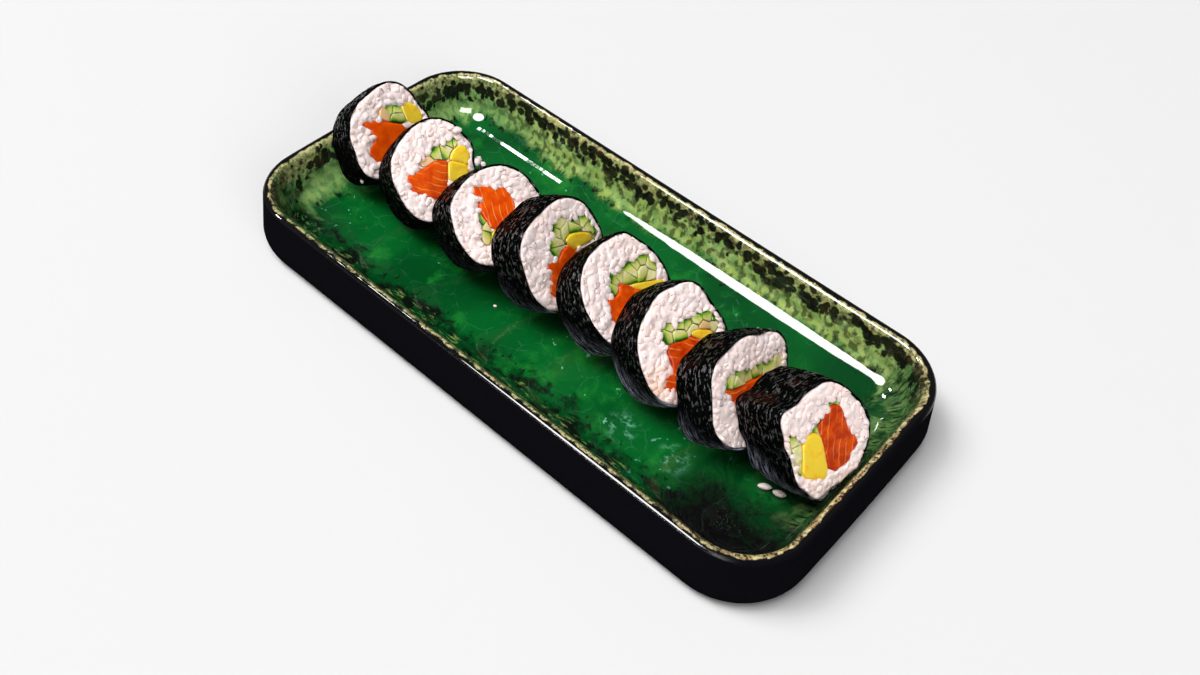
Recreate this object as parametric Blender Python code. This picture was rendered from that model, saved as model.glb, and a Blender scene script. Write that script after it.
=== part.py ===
"""Eight cut slices of a thick maki roll, leaning on one another in a long glazed stoneware tray.

The row of slices runs along X.  The first slice leans on the tray's far end wall (-X) and each of
the others leans back on the one before it, so every cut face looks up and towards +X.
Sizes below are millimetres and degrees; the meshes are metres, +Z up.  The origin is under the
middle of the tray, on the surface it stands on.
"""
import math

import bmesh
import bpy
from mathutils import Matrix, Vector

MM = 0.001
GAP = 0.3                       # clearance between pieces that touch

# ---------------------------------------------------------------- tray
TRAY_LENGTH = 290.0             # over the rim, end to end, without the bow of the ends
TRAY_WIDTH = 140.5
TRAY_HEIGHT = 29.0
CORNER_RADIUS = 29.0            # of the rim, seen from above
END_BOW = 1.3                   # how far the short ends bulge in the middle
BASE_BULGE = 2.3                # how far the wall swells out past the rim
BULGE_HEIGHT = 9.0
FOOT_TUCK = 4.6                 # how far the foot pulls in under the swelling
LIP_OUTER_RADIUS = 2.2
LIP_INNER_WIDTH = 3.4
LIP_INNER_DROP = 3.2
COVE_START_INSET = 8.5          # where the inner wall starts to sweep into the floor
COVE_START_HEIGHT = 17.5
COVE_END_INSET = 27.0
FLOOR_HEIGHT = 6.1

# ---------------------------------------------------------------- slices
NORI_THICKNESS = 0.8
BARREL = 0.5                    # swelling of a slice half way through its thickness
BACK_SHRINK = 0.3               # the back edge is a little tighter than the front one
AROUND = 36                     # points round a slice

# For each slice: the middle of its cut face over the tray (x, y), its turn about Z, its lean back
# from upright, its thickness, its radius and the humps that put it out of round.  A hump is the
# place round the cut face, anticlockwise from its right-hand side, its height and its half width.
# The fillings are outlines in that face: x right, y up.
SLICES = (
    dict(
        at=(-118.5, -2.0), turn=-4.0, lean=43.0, thickness=20.0,
        radius=20.8, humps=((0, 1.0, 20), (55, 3.7, 45), (210, 3.2, 35)),
        salmon=((-11, 10.5), (-2, 7.5), (10, 0), (9, -7), (1, -12), (-7, -13), (-12, -9),
                (-15, -2.5), (-9.5, 0), (-8, 5.5)),
        mango=((10, 0), (11, 10), (15, 10), (18, 7), (19.3, 1), (17, -2)),
        cucumber=((-2, 7.5), (0, 12.5), (5, 12.5), (11, 10), (10, 0)),
    ),
    dict(
        at=(-83.0, -9.0), turn=-20.5, lean=48.5, thickness=25.5,
        radius=19.5, humps=((15, 1.5, 15), (60, 4.0, 65), (245, 4.5, 55)),
        salmon=((-13.5, 0), (-7, 1.5), (-3, 1.5), (3, 3.5), (8, 2), (6.5, -1.5), (5, -6),
                (3, -12), (-4, -13), (-8, -9), (-12, -7)),
        mango=((8, 2), (11, 5.5), (14.5, 7.5), (17.5, 6.5), (18.5, 1.5), (16, -2.5), (13.5, -0.5)),
        mango_low=((8, 2), (13.5, -0.5), (16, -2.5), (15.5, -6), (10, -9), (5, -6), (6.5, -1.5)),
        cucumber=((-5, 3.5), (-4.5, 6.5), (0, 6.5), (2.5, 9.5), (10, 10.5), (13.5, 11.5), (16, 10),
                  (14.5, 7.5), (11, 5.5), (8, 2), (3, 3.5), (-3, 1.5)),
    ),
    dict(
        at=(-42.0, -9.0), turn=-16.0, lean=46.5, thickness=25.0,
        radius=21.9, humps=((60, 1.0, 45), (145, 1.0, 25), (220, 1.0, 25), (285, 0.8, 40)),
        salmon=((-7, 16), (-2, 14.5), (3.5, 12), (6, 13), (8.5, 7), (9, 1), (5, -5), (-5, -4),
                (-6, 0), (-7.5, 5.5), (-5.5, 10.5), (-7.5, 13.5)),
        mango=((-5, -4), (5, -5), (6, -9), (0, -13), (-6, -13), (-8, -10)),
        cucumber=((-7.5, 5.5), (-6, 0), (-5, -4), (-8, -10), (-11, -9), (-11, -5), (-8.5, -1),
                  (-9.5, 2)),
    ),
    dict(
        at=(-7.7, -4.5), turn=-1.5, lean=34.5, thickness=20.5,
        radius=22.3, humps=((55, 3.0, 55), (135, 2.0, 45), (220, 2.0, 60), (285, 2.2, 50)),
        salmon=((-11, 0.5), (-8, 2), (-4, 0), (0.5, 3), (4, 3), (6, -0.5), (9, -4), (6, -10),
                (-2, -14), (-11, -14), (-14, -10), (-12, -6), (-10, -3)),
        mango=((3, 6), (7, 7), (12.5, 5), (17, 2), (16.5, -1), (11, -0.5), (6, -0.5), (4, 3)),
        cucumber=((-5, 2), (-6, 8.5), (-1.5, 10), (-1.5, 13), (2.5, 16.5), (6.5, 15.5), (8.5, 12),
                  (16, 12), (19.5, 7), (20, 1), (19, -3), (16.5, -1), (17, 2), (12.5, 5), (7, 7),
                  (3, 6), (4, 3), (0.5, 3), (-4, 0)),
    ),
    dict(
        at=(23.0, 0.5), turn=6.0, lean=49.0, thickness=17.5,
        radius=24.5, humps=((50, 1.5, 20), (90, -1.0, 45), (205, 0.8, 30)),
        salmon=((-10.5, 4), (-7, 2), (-3.5, 2.5), (-1, 5), (3.5, 1), (4, -1.5), (8, -5), (5, -11),
                (-4, -13), (-12, -10), (-16, -3.5)),
        mango=((3.5, 1), (5.5, 0.5), (10.5, -2), (16, -5), (20, -7), (18, -11), (12, -9), (8, -5),
               (4, -1.5)),
        cucumber=((-7, 2), (-7.5, 6), (-2, 10.8), (2.5, 9.5), (8.5, 9.5), (12.5, 8), (17, 8.5),
                  (21, 4), (21.5, 0), (18.5, -3), (16, -5), (10.5, -2), (5.5, 0.5), (3.5, 1),
                  (-1, 5), (-3.5, 2.5)),
    ),
    dict(
        at=(58.7, -7.5), turn=-13.5, lean=45.5, thickness=21.5,
        radius=21.6, humps=((55, 4.0, 30), (85, 2.5, 40), (230, 3.3, 55), (285, 2.0, 40)),
        salmon=((-8, 1.5), (-4, 2.5), (2, 1.5), (5, 2), (7.5, -0.5), (9, -5), (4, -12), (-4, -15),
                (-11, -16), (-14.5, -12), (-14, -9.5), (-9, -7.5), (-7.5, -4)),
        mango=((5, 2), (5, 3.5), (8, 3.5), (13.5, 1), (15.5, -1.5), (12, -3.5), (7.5, -0.5)),
        cucumber=((-7, 2.5), (-8, 7), (-4.5, 12), (0.5, 9), (6.5, 9.8), (11.5, 9), (16.5, 9),
                  (19, 4), (19.2, 0.5), (15.5, -1.5), (13.5, 1), (8, 3.5), (5, 3.5), (5, 2),
                  (2, 1.5), (-4, 2.5)),
    ),
    dict(
        at=(91.0, -3.5), turn=1.5, lean=36.0, thickness=18.5,
        radius=22.1, humps=((20, 5.0, 35), (130, 3.0, 35), (190, 4.5, 55)),
        salmon=((-13.5, 9.5), (-8.5, 6), (1, 3.5), (9, 1.5), (10, -4), (5, -11), (-5, -12),
                (-11, -7), (-11.5, 1), (-11.5, 5)),
        cucumber=((-8.5, 6), (-13.5, 9.5), (-12, 11.5), (-6, 13.5), (1.5, 8.8), (7, 7.8), (12, 5),
                  (16, 4), (19, 5.5), (22, 4.5), (21.5, -1.5), (17, -2.5), (11.5, 0.5), (9, 1.5),
                  (1, 3.5)),
    ),
    dict(
        at=(126.4, -7.2), turn=-15.0, lean=34.5, thickness=27.5,
        radius=21.6, humps=((30, -1.5, 40), (75, 0.8, 30), (135, 3.4, 17), (185, -3.5, 40),
                            (245, 2.6, 20), (280, -1.2, 30)),
        salmon=((4, 11), (7.5, 11), (10.5, 8), (11, -0.5), (15, -9), (10, -10.5), (8.5, -13.5),
                (0.5, -15), (-2, -12.5), (-1.5, -2.5), (-2, 2.5), (-3, 6), (0.5, 8)),
        mango=((-8, 4.7), (-5, 4.7), (-2, 2.5), (-1.5, -2.5), (-2, -12.5), (-4, -16), (-14, -10.5),
               (-12, -2.5), (-11, 2)),
        cucumber=((-11, 2), (-12, -2.5), (-14, -10.5), (-15.8, -7), (-16, 3), (-16, 8.5), (-13, 8)),
        cucumber_top=((4, 11), (5, 13.5), (8.5, 13.5), (10.5, 8), (7.5, 11)),
        cucumber_mid=((-2, 2.5), (-5, 4.7), (-4.5, 8.5), (0.5, 9.5), (0.5, 8), (-3, 6)),
    ),
)
FILLINGS = ("salmon", "mango", "mango_low", "cucumber", "cucumber_top", "cucumber_mid")

# ---------------------------------------------------------------- loose grains of rice
GRAIN_LENGTH = 6.0
GRAIN_WIDTH = 2.8
GRAIN_HEIGHT = 2.4
LOOSE_GRAINS = (                # place (x, y) on the tray's floor and turn about Z
    ((113.7, -18.7), 22.0),
    ((119.9, -17.4), 12.0),
)

# ---------------------------------------------------------------- finishes: colour, roughness
FINISHES = {
    "stoneware": ((0.010, 0.055, 0.022), 0.25),
    "nori": ((0.008, 0.010, 0.009), 0.45),
    "rice": ((0.78, 0.72, 0.72), 0.45),
    "salmon": ((0.78, 0.13, 0.02), 0.35),
    "mango": ((0.86, 0.52, 0.02), 0.35),
    "cucumber": ((0.50, 0.55, 0.20), 0.35),
}


def clear_scene():
    for obj in list(bpy.data.objects):
        bpy.data.objects.remove(obj, do_unlink=True)


def make_materials():
    materials = {}
    for name, (colour, roughness) in FINISHES.items():
        material = bpy.data.materials.new(name)
        material.use_nodes = True
        shader = material.node_tree.nodes["Principled BSDF"]
        shader.inputs["Base Color"].default_value = (*colour, 1.0)
        shader.inputs["Roughness"].default_value = roughness
        shader.inputs["Metallic"].default_value = 0.0
        materials[name] = material
    return materials


def add_object(name, bm, material, parent=None):
    """Turn a bmesh built in millimetres into an object in metres."""
    bmesh.ops.scale(bm, vec=(MM, MM, MM), verts=bm.verts)
    bmesh.ops.recalc_face_normals(bm, faces=bm.faces)
    mesh = bpy.data.meshes.new(name)
    bm.to_mesh(mesh)
    bm.free()
    mesh.materials.append(material)
    mesh.shade_smooth()
    mesh.set_sharp_from_angle(angle=math.radians(35.0))
    obj = bpy.data.objects.new(name, mesh)
    bpy.context.collection.objects.link(obj)
    obj.parent = parent
    return obj


def loft(rings, joined_ends=False):
    """Skin a list of closed rings with the same number of points.

    The first and last rings are filled, or joined to each other when the skin closes on itself.
    """
    bm = bmesh.new()
    loops = [[bm.verts.new(point) for point in ring] for ring in rings]
    pairs = list(zip(loops, loops[1:]))
    if joined_ends:
        pairs.append((loops[-1], loops[0]))
    else:
        bm.faces.new(loops[0])
        bm.faces.new(loops[-1])
    for low, high in pairs:
        count = len(low)
        for i in range(count):
            j = (i + 1) % count
            bm.faces.new((low[i], low[j], high[j], high[i]))
    return bm


def ellipse_arc(centre, width, height, start, end, steps):
    """Points of an elliptical arc from start to end degrees, both ends included."""
    points = []
    for i in range(steps + 1):
        angle = math.radians(start + (end - start) * i / steps)
        points.append((centre[0] + width * math.cos(angle), centre[1] + height * math.sin(angle)))
    return points


# ---------------------------------------------------------------- tray
def tray_plan(offset):
    """The tray's outline seen from above, moved outwards from the rim by offset."""
    half_length = TRAY_LENGTH / 2 + offset
    half_width = TRAY_WIDTH / 2 + offset
    radius = CORNER_RADIUS + offset
    straight_x = half_length - radius
    straight_y = half_width - radius
    corners = ((straight_x, straight_y), (-straight_x, straight_y),
               (-straight_x, -straight_y), (straight_x, -straight_y))
    plan = []
    for quarter, centre in enumerate(corners):
        plan += ellipse_arc(centre, radius, radius, 90 * quarter, 90 * quarter + 90, 7)
        start = plan[-1]
        following = corners[(quarter + 1) % 4]
        angle = math.radians(90 * quarter + 90)
        end = (following[0] + radius * math.cos(angle), following[1] + radius * math.sin(angle))
        for i in (1, 2, 3):
            plan.append((start[0] + (end[0] - start[0]) * i / 4,
                         start[1] + (end[1] - start[1]) * i / 4))
    bowed = []
    for x, y in plan:
        nearness = max(0.0, (abs(x) - straight_x) / radius)
        bow = END_BOW * nearness * (1.0 - (y / half_width) ** 2)
        bowed.append((x + math.copysign(bow, x), y))
    return bowed


def tray_inner_section():
    """The section from the top of the lip down to the floor, as (outward offset, height)."""
    lip_top = (-LIP_OUTER_RADIUS, TRAY_HEIGHT - LIP_INNER_DROP)
    lip = ellipse_arc(lip_top, LIP_INNER_WIDTH, LIP_INNER_DROP, 90, 180, 3)
    cove_width = COVE_END_INSET - COVE_START_INSET
    cove_depth = COVE_START_HEIGHT - FLOOR_HEIGHT
    cove = ellipse_arc((-COVE_END_INSET, COVE_START_HEIGHT), cove_width, cove_depth, 0, -90, 6)
    return lip + cove


def tray_section():
    """The whole section: foot, swelling wall, lip, inner wall and cove."""
    foot_centre = (BASE_BULGE - FOOT_TUCK, BULGE_HEIGHT)
    foot = ellipse_arc(foot_centre, FOOT_TUCK, BULGE_HEIGHT, -90, 0, 4)
    lip_centre = (-LIP_OUTER_RADIUS, TRAY_HEIGHT - LIP_OUTER_RADIUS)
    lip = ellipse_arc(lip_centre, LIP_OUTER_RADIUS, LIP_OUTER_RADIUS, 0, 90, 3)
    return foot + lip + tray_inner_section()[1:]


def build_tray(material):
    rings = []
    for offset, height in tray_section():
        rings.append([(x, y, height) for x, y in tray_plan(offset)])
    return add_object("tray", loft(rings), material)


def tray_surface(x, y):
    """Height of the tray's inside under the point (x, y)."""
    straight_x = TRAY_LENGTH / 2 - CORNER_RADIUS
    straight_y = TRAY_WIDTH / 2 - CORNER_RADIUS
    dx = abs(x) - straight_x
    dy = abs(y) - straight_y
    outside = math.hypot(max(dx, 0.0), max(dy, 0.0)) + min(max(dx, dy), 0.0)
    offset = outside - CORNER_RADIUS
    section = tray_inner_section()
    if offset <= section[-1][0]:
        return FLOOR_HEIGHT
    for (o1, h1), (o2, h2) in zip(section, section[1:]):
        if o2 <= offset <= o1:
            return h2 + (h1 - h2) * (offset - o2) / (o1 - o2)
    return TRAY_HEIGHT


# ---------------------------------------------------------------- slices
def outline_radius(data, degrees):
    """Radius of the cut face in one direction: the plain radius and every hump that reaches it."""
    radius = data["radius"]
    for place, height, half_width in data["humps"]:
        away = abs((degrees - place + 180) % 360 - 180) / half_width
        if away < 1:
            radius += height * math.cos(math.pi / 2 * away) ** 2
    return radius


def slice_ring(data, inset, depth):
    ring = []
    for i in range(AROUND):
        degrees = 360 * i / AROUND
        radius = outline_radius(data, degrees) - inset
        angle = math.radians(degrees)
        ring.append((radius * math.cos(angle), radius * math.sin(angle), -depth))
    return ring


def slice_wall(data, inset):
    """Front, middle and back rings of a slice's side, moved inwards by inset."""
    thickness = data["thickness"]
    return [slice_ring(data, inset, 0.0),
            slice_ring(data, inset - BARREL, thickness / 2),
            slice_ring(data, inset + BACK_SHRINK, thickness)]


def slice_turn(data):
    """Rotation that takes the slice's own axes (right, up, out of the cut) to the tray's."""
    turn = math.radians(data["turn"])
    lean = math.radians(data["lean"])
    out = Vector((math.cos(lean) * math.cos(turn), math.cos(lean) * math.sin(turn), math.sin(lean)))
    up = Vector((-math.sin(lean) * math.cos(turn), -math.sin(lean) * math.sin(turn),
                 math.cos(lean)))
    right = up.cross(out)
    return Matrix((right, up, out)).transposed()


def place_slice(data):
    """Lower the slice until it stands on the inside of the tray."""
    turn = slice_turn(data)
    height = -math.inf
    for ring in slice_wall(data, 0.0):
        for point in ring:
            x, y, z = turn @ Vector(point)
            surface = tray_surface(x + data["at"][0], y + data["at"][1])
            height = max(height, surface + GAP - z)
    placement = turn.to_4x4()
    placement.translation = Vector((data["at"][0], data["at"][1], height)) * MM
    return placement


def offset_outline(outline, distance):
    """Move every side of a closed anticlockwise outline outwards by distance."""
    moved = []
    count = len(outline)
    for i in range(count):
        before = Vector(outline[i - 1])
        here = Vector(outline[i])
        after = Vector(outline[(i + 1) % count])
        side_in = (here - before).normalized()
        side_out = (after - here).normalized()
        normal_in = Vector((side_in.y, -side_in.x))
        normal_out = Vector((side_out.y, -side_out.x))
        middle = (normal_in + normal_out).normalized()
        reach = distance / max(0.5, middle.dot(normal_in))
        moved.append(tuple(here + middle * reach))
    return moved


def anticlockwise(outline):
    area = 0.0
    for (x1, y1), (x2, y2) in zip(outline, outline[1:] + outline[:1]):
        area += x1 * y2 - x2 * y1
    return list(outline) if area > 0 else list(reversed(outline))


def rounded(outline):
    """Cut the outward corners of a closed anticlockwise outline at a fifth of their sides."""
    points = []
    count = len(outline)
    for i in range(count):
        before = Vector(outline[i - 1])
        here = Vector(outline[i])
        after = Vector(outline[(i + 1) % count])
        if (here - before).cross(after - here) > 0:
            points.append(tuple(here.lerp(before, 0.2)))
            points.append(tuple(here.lerp(after, 0.2)))
        else:
            points.append(tuple(here))
    return points


def prism(outline, front, back):
    return loft([[(x, y, front) for x, y in outline], [(x, y, back) for x, y in outline]])


def cut_out(target, cutter):
    cutter.hide_render = True
    cutter.display_type = "WIRE"
    modifier = target.modifiers.new(cutter.name, "BOOLEAN")
    modifier.operation = "DIFFERENCE"
    modifier.solver = "EXACT"
    modifier.object = cutter


def build_slice(number, data, materials):
    pivot = bpy.data.objects.new("slice_%d" % number, None)
    bpy.context.collection.objects.link(pivot)
    pivot.matrix_world = place_slice(data)

    nori = slice_wall(data, 0.0) + list(reversed(slice_wall(data, NORI_THICKNESS)))
    add_object("nori_%d" % number, loft(nori, joined_ends=True), materials["nori"], pivot)

    rice = add_object("rice_%d" % number, loft(slice_wall(data, NORI_THICKNESS + GAP)),
                      materials["rice"], pivot)
    back = -data["thickness"]
    for filling in FILLINGS:
        if filling not in data:
            continue
        name = "%s_%d" % (filling, number)
        material = materials[filling.split("_")[0]]
        outline = anticlockwise(data[filling])
        piece = offset_outline(rounded(outline), -GAP / 2)
        add_object(name, prism(piece, 0.0, back), material, pivot)
        hole = prism(offset_outline(outline, GAP / 2), 1.0, back - 1.0)
        cut_out(rice, add_object(name + "_cutter", hole, material, pivot))


# ---------------------------------------------------------------- loose grains
def build_grain(number, place, turn, material):
    bm = bmesh.new()
    bmesh.ops.create_icosphere(bm, subdivisions=2, radius=0.5)
    bmesh.ops.scale(bm, vec=(GRAIN_LENGTH, GRAIN_WIDTH, GRAIN_HEIGHT), verts=bm.verts)
    grain = add_object("loose_rice_%d" % number, bm, material)
    height = tray_surface(*place) + GAP + GRAIN_HEIGHT / 2
    grain.location = Vector((place[0], place[1], height)) * MM
    grain.rotation_euler = (0.0, 0.0, math.radians(turn))


def main():
    clear_scene()
    materials = make_materials()
    build_tray(materials["stoneware"])
    for number, data in enumerate(SLICES, start=1):
        build_slice(number, data, materials)
    for number, (place, turn) in enumerate(LOOSE_GRAINS, start=1):
        build_grain(number, place, turn, materials["rice"])


main()
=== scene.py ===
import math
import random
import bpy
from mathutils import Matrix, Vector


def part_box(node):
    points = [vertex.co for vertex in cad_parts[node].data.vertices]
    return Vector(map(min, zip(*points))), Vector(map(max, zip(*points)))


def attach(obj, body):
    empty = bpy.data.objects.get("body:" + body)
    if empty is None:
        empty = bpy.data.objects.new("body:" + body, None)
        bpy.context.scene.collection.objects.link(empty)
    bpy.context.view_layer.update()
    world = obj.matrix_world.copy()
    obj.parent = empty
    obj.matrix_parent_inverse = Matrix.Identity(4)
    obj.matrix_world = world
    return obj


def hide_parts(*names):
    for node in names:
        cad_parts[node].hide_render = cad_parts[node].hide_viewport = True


bl_info = {
    "name": "Maki Slices on a Tray",
    "version": (1, 0, 0),
    "blender": (4, 5, 0),
    "location": "View3D > Sidebar > Maki",
    "description": "Dresses a built tray and its cut roll slices with glaze, nori, rice and fillings",
    "category": "Add Mesh",
}

import bmesh
import bpy
import numpy as np
from bpy.props import FloatProperty, FloatVectorProperty, IntProperty, PointerProperty
from mathutils import Matrix, Vector, noise

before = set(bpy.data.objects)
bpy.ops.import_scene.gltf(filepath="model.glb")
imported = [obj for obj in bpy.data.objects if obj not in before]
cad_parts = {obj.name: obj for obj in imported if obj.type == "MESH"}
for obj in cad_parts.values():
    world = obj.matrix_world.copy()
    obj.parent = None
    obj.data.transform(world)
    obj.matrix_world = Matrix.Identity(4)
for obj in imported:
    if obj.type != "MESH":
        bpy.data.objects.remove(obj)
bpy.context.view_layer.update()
MM = 0.001
SLICE_COUNT = sum(1 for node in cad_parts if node.startswith("nori_"))
LOOSE_GRAINS = sorted(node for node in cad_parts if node.startswith("loose_rice_"))


# ------------------------------------------------------------------ settings
def length(name, description, default, **limits):
    return FloatProperty(name=name, description=description, default=default, unit="LENGTH",
                         subtype="DISTANCE", precision=5, **limits)


def colour(name, description, default):
    return FloatVectorProperty(name=name, description=description, default=default, size=3,
                               min=0.0, max=1.0, subtype="COLOR")


def factor(name, description, default):
    return FloatProperty(name=name, description=description, default=default, min=0.0, max=1.0,
                         subtype="FACTOR")


class TraySettings(bpy.types.PropertyGroup):
    corner_radius: length("Corner radius", "Radius of the rim's corners, seen from above", 0.029)
    end_bow: length("End bow", "How far the short ends bulge in the middle", 0.0013)
    base_bulge: length("Base bulge", "How far the wall swells out past the rim", 0.0023)
    bulge_height: length("Bulge height", "Height of the wall's widest ring", 0.009)
    foot_tuck: length("Foot tuck", "How far the foot pulls in under the swelling", 0.0046)
    lip_outer_radius: length("Lip outer radius", "Rounding of the lip's outer edge", 0.0022)
    lip_inner_width: length("Lip inner width", "Width of the lip's inner rounding", 0.0034)
    lip_inner_drop: length("Lip inner drop", "Drop of the lip's inner rounding", 0.0032)
    cove_start_inset: length("Cove start inset", "Where the wall starts to sweep inwards", 0.0085)
    cove_start_height: length("Cove start height", "Height at which that sweep starts", 0.0175)
    cove_end_inset: length("Cove end inset", "Where the sweep meets the floor", 0.027)
    floor_height: length("Floor height", "Height of the tray's inner floor", 0.0061)
    around: IntProperty(name="Points around", description="Points round the tray", default=288)
    emerald: colour("Emerald", "Glaze pooled on the floor", (0.0018, 0.106, 0.017))
    # Deep emerald is also the painted shade in the floor's far corner behind the last slice.
    emerald_deep_and_shade: colour("Deep emerald", "Thickest glaze", (0.001, 0.050, 0.010))
    emerald_light: colour("Light emerald", "Thinner glaze on the floor", (0.009, 0.175, 0.022))
    # Mint also paints the pale reflections in the floor's glaze.
    mint_and_reflection: colour("Mint", "Pale flecks and crazing in the floor", (0.16, 0.46, 0.31))
    sage: colour("Sage", "Thin glaze on the walls", (0.40, 0.55, 0.125))
    sage_light: colour("Light sage", "Thinnest glaze on the walls", (0.52, 0.65, 0.21))
    leaf: colour("Leaf", "Greener clouds in the sage", (0.16, 0.38, 0.12))
    olive: colour("Olive", "Speckles in the sage", (0.070, 0.085, 0.026))
    cream: colour("Cream", "Glaze that breaks under the lip", (0.70, 0.60, 0.30))
    gold: colour("Gold", "Mottled glaze at the near end", (0.42, 0.30, 0.14))
    umber: colour("Umber", "Brown of the blotches", (0.030, 0.018, 0.009))
    black: colour("Black", "Body glaze of the lip and the blotches", (0.0040, 0.0036, 0.0040))
    outside: colour("Outside", "Matt glaze of the outer wall", (0.0050, 0.0048, 0.0064))


class NoriSettings(bpy.types.PropertyGroup):
    thickness: length("Thickness", "Thickness of the moist sheet", 0.0006)
    wrinkle: length("Wrinkle", "Height of the sheet's wrinkles", 0.00020)
    overhang: length("Overhang", "How unevenly the sheet's cut edges run", 0.0004)
    around: IntProperty(name="Points around", description="Points round each sleeve", default=150)
    across: IntProperty(name="Points across", description="Points from cut to cut", default=22)
    dark: colour("Dark", "Colour of the sheet", (0.0016, 0.0020, 0.0018))
    fibre: colour("Fibre", "Colour of its paler fibres", (0.008, 0.009, 0.009))
    # Reddish tint that the code puts on the tops of the rolls, by height alone.
    top_tint: colour("Rust", "Reddish tint where it is thin", (0.026, 0.008, 0.006))
    # Painted sheen: greyish light on the lower sides of the rolls, put into the colour.
    sheen: colour("Bloom", "Greyish bloom low on the roll", (0.60, 0.60, 0.78))


class RiceSettings(bpy.types.PropertyGroup):
    grain_length: length("Grain length", "Length of a boiled grain", 0.0054)
    grain_width: length("Grain width", "Width of a boiled grain", 0.0031)
    grain_height: length("Grain height", "Thickness of a boiled grain", 0.0012)
    spacing: length("Spacing", "Closest that two grains' middles come", 0.0027)
    unevenness: length("Unevenness", "How far pressing puts a grain out of shape", 0.0005)
    cell: length("Cell", "Step of the patch that carries the grains", 0.0008)
    lump: length("Lumps", "Height of the lumps in the cut rice", 0.0007)
    edge_drop: length("Edge drop", "How far the rice falls away at the nori", 0.0007)
    core_depth: length("Core depth", "How far the packed core lies under the cut", 0.0001)
    smear: length("Smear", "How far the mashed rice rises between and over the grains", 0.0009)
    filling_bed: length("Filling bed", "How deep the rice is sunk under the fillings", 0.0030)
    sleeve_gap: length("Sleeve gap", "How far inside the nori's outside the rice ends", 0.00085)
    seed: IntProperty(name="Seed", description="Seed of the grains' places", default=4)
    white: colour("White", "Colour of the grains", (1.0, 0.85, 0.82))
    warm: colour("Warm", "Colour of the warmer grains", (1.0, 0.80, 0.755))
    cool: colour("Cool", "Colour of the glassy grains", (0.90, 0.79, 0.82))
    blush: colour("Blush", "Faint pink of parts of the rice", (0.98, 0.73, 0.69))
    stain: colour("Stain", "Rice stained by the salmon on the sixth slice", (0.95, 0.62, 0.45))
    # Speck also colours the painted shade in the crevices between grains.
    speck: colour("Speck", "Colour of the few specks", (0.25, 0.17, 0.13))
    shade: colour("Shade", "Colour of the packed core between them", (0.98, 0.80, 0.77))


class FillingSettings(bpy.types.PropertyGroup):
    voxel: length("Voxel", "Step at which cut pieces are rounded over", 0.00045)
    swell: length("Swell", "Unevenness of the pieces' surfaces", 0.00022)
    stick_gap: length("Stick gap", "Gap between cucumber sticks", 0.00022)
    salmon: colour("Salmon", "Colour of the salmon", (0.92, 0.115, 0.0))
    salmon_deep: colour("Deep salmon", "Colour of its darker flesh", (0.78, 0.065, 0.0))
    salmon_dark: colour("Dark salmon", "Colour of the thicker, redder pieces", (0.46, 0.030, 0.001))
    fat: colour("Fat", "Colour of its fat lines", (1.0, 0.42, 0.12))
    mango: colour("Mango", "Colour of the mango", (1.0, 0.70, 0.035))
    mango_deep: colour("Deep mango", "Colour of its fibres", (0.98, 0.49, 0.007))
    mango_pale: colour("Pale mango", "Colour of its wet edges", (1.0, 0.74, 0.12))
    cucumber: colour("Cucumber", "Colour of the flesh", (0.66, 0.70, 0.15))
    cucumber_pale: colour("Pale cucumber", "Colour of its watery core", (0.88, 0.82, 0.42))
    # Skin also colours the dark bed of painted shade between the sticks.
    skin: colour("Skin", "Colour of the skin", (0.006, 0.045, 0.002))
    # Under skin also colours the painted shade along the sticks' outlines.
    under_skin_and_gap_shade: colour("Under skin", "Bright green just inside the skin", (0.10, 0.36, 0.006))
    peach: colour("Peach", "Cucumber stained by the salmon", (0.86, 0.52, 0.26))


class StageSettings(bpy.types.PropertyGroup):
    target_x: length("Target X", "Point that the camera looks at", 0.01296)
    target_y: length("Target Y", "Point that the camera looks at", -0.00177)
    distance: length("Distance", "From the camera to that point", 0.51468)
    azimuth: FloatProperty(name="Azimuth", description="Camera's turn", subtype="ANGLE",
                           default=math.radians(36.59))
    elevation: FloatProperty(name="Elevation", description="Camera's height", subtype="ANGLE",
                             default=math.radians(49.32))
    roll: FloatProperty(name="Roll", description="Camera's roll", subtype="ANGLE",
                        default=math.radians(6.42))
    lens: FloatProperty(name="Lens", description="Focal length on a 36 mm sensor, in mm",
                        default=35.22)
    floor_size: length("Floor size", "Side of the square floor", 8.0)
    floor_colour: colour("Floor", "Colour of the pale floor", (0.74, 0.74, 0.74))
    sky: factor("Sky", "Brightness of the light from all round", 0.075)
    key_power: FloatProperty(name="Key", description="Softbox beyond the far end",
                             unit="POWER", default=425.0)
    top_power: FloatProperty(name="Top", description="Large overhead softbox", unit="POWER",
                             default=548.0)
    side_power: FloatProperty(name="Side", description="Softbox that faces the cuts",
                              unit="POWER", default=245.0)
    strip_power: FloatProperty(name="Strip", description="Softbox seen in the far wall",
                               unit="POWER", default=22.0)
    panel_power: FloatProperty(name="Panels", description="Panels seen in the far wall, for 1 m",
                               unit="POWER", default=27.0)
    window_power: FloatProperty(name="Window", description="Softbox seen in the far corner",
                                unit="POWER", default=80.0)
    glint_power: FloatProperty(name="Glint", description="Small lamp that makes wet glints",
                               unit="POWER", default=16.0)


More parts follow.
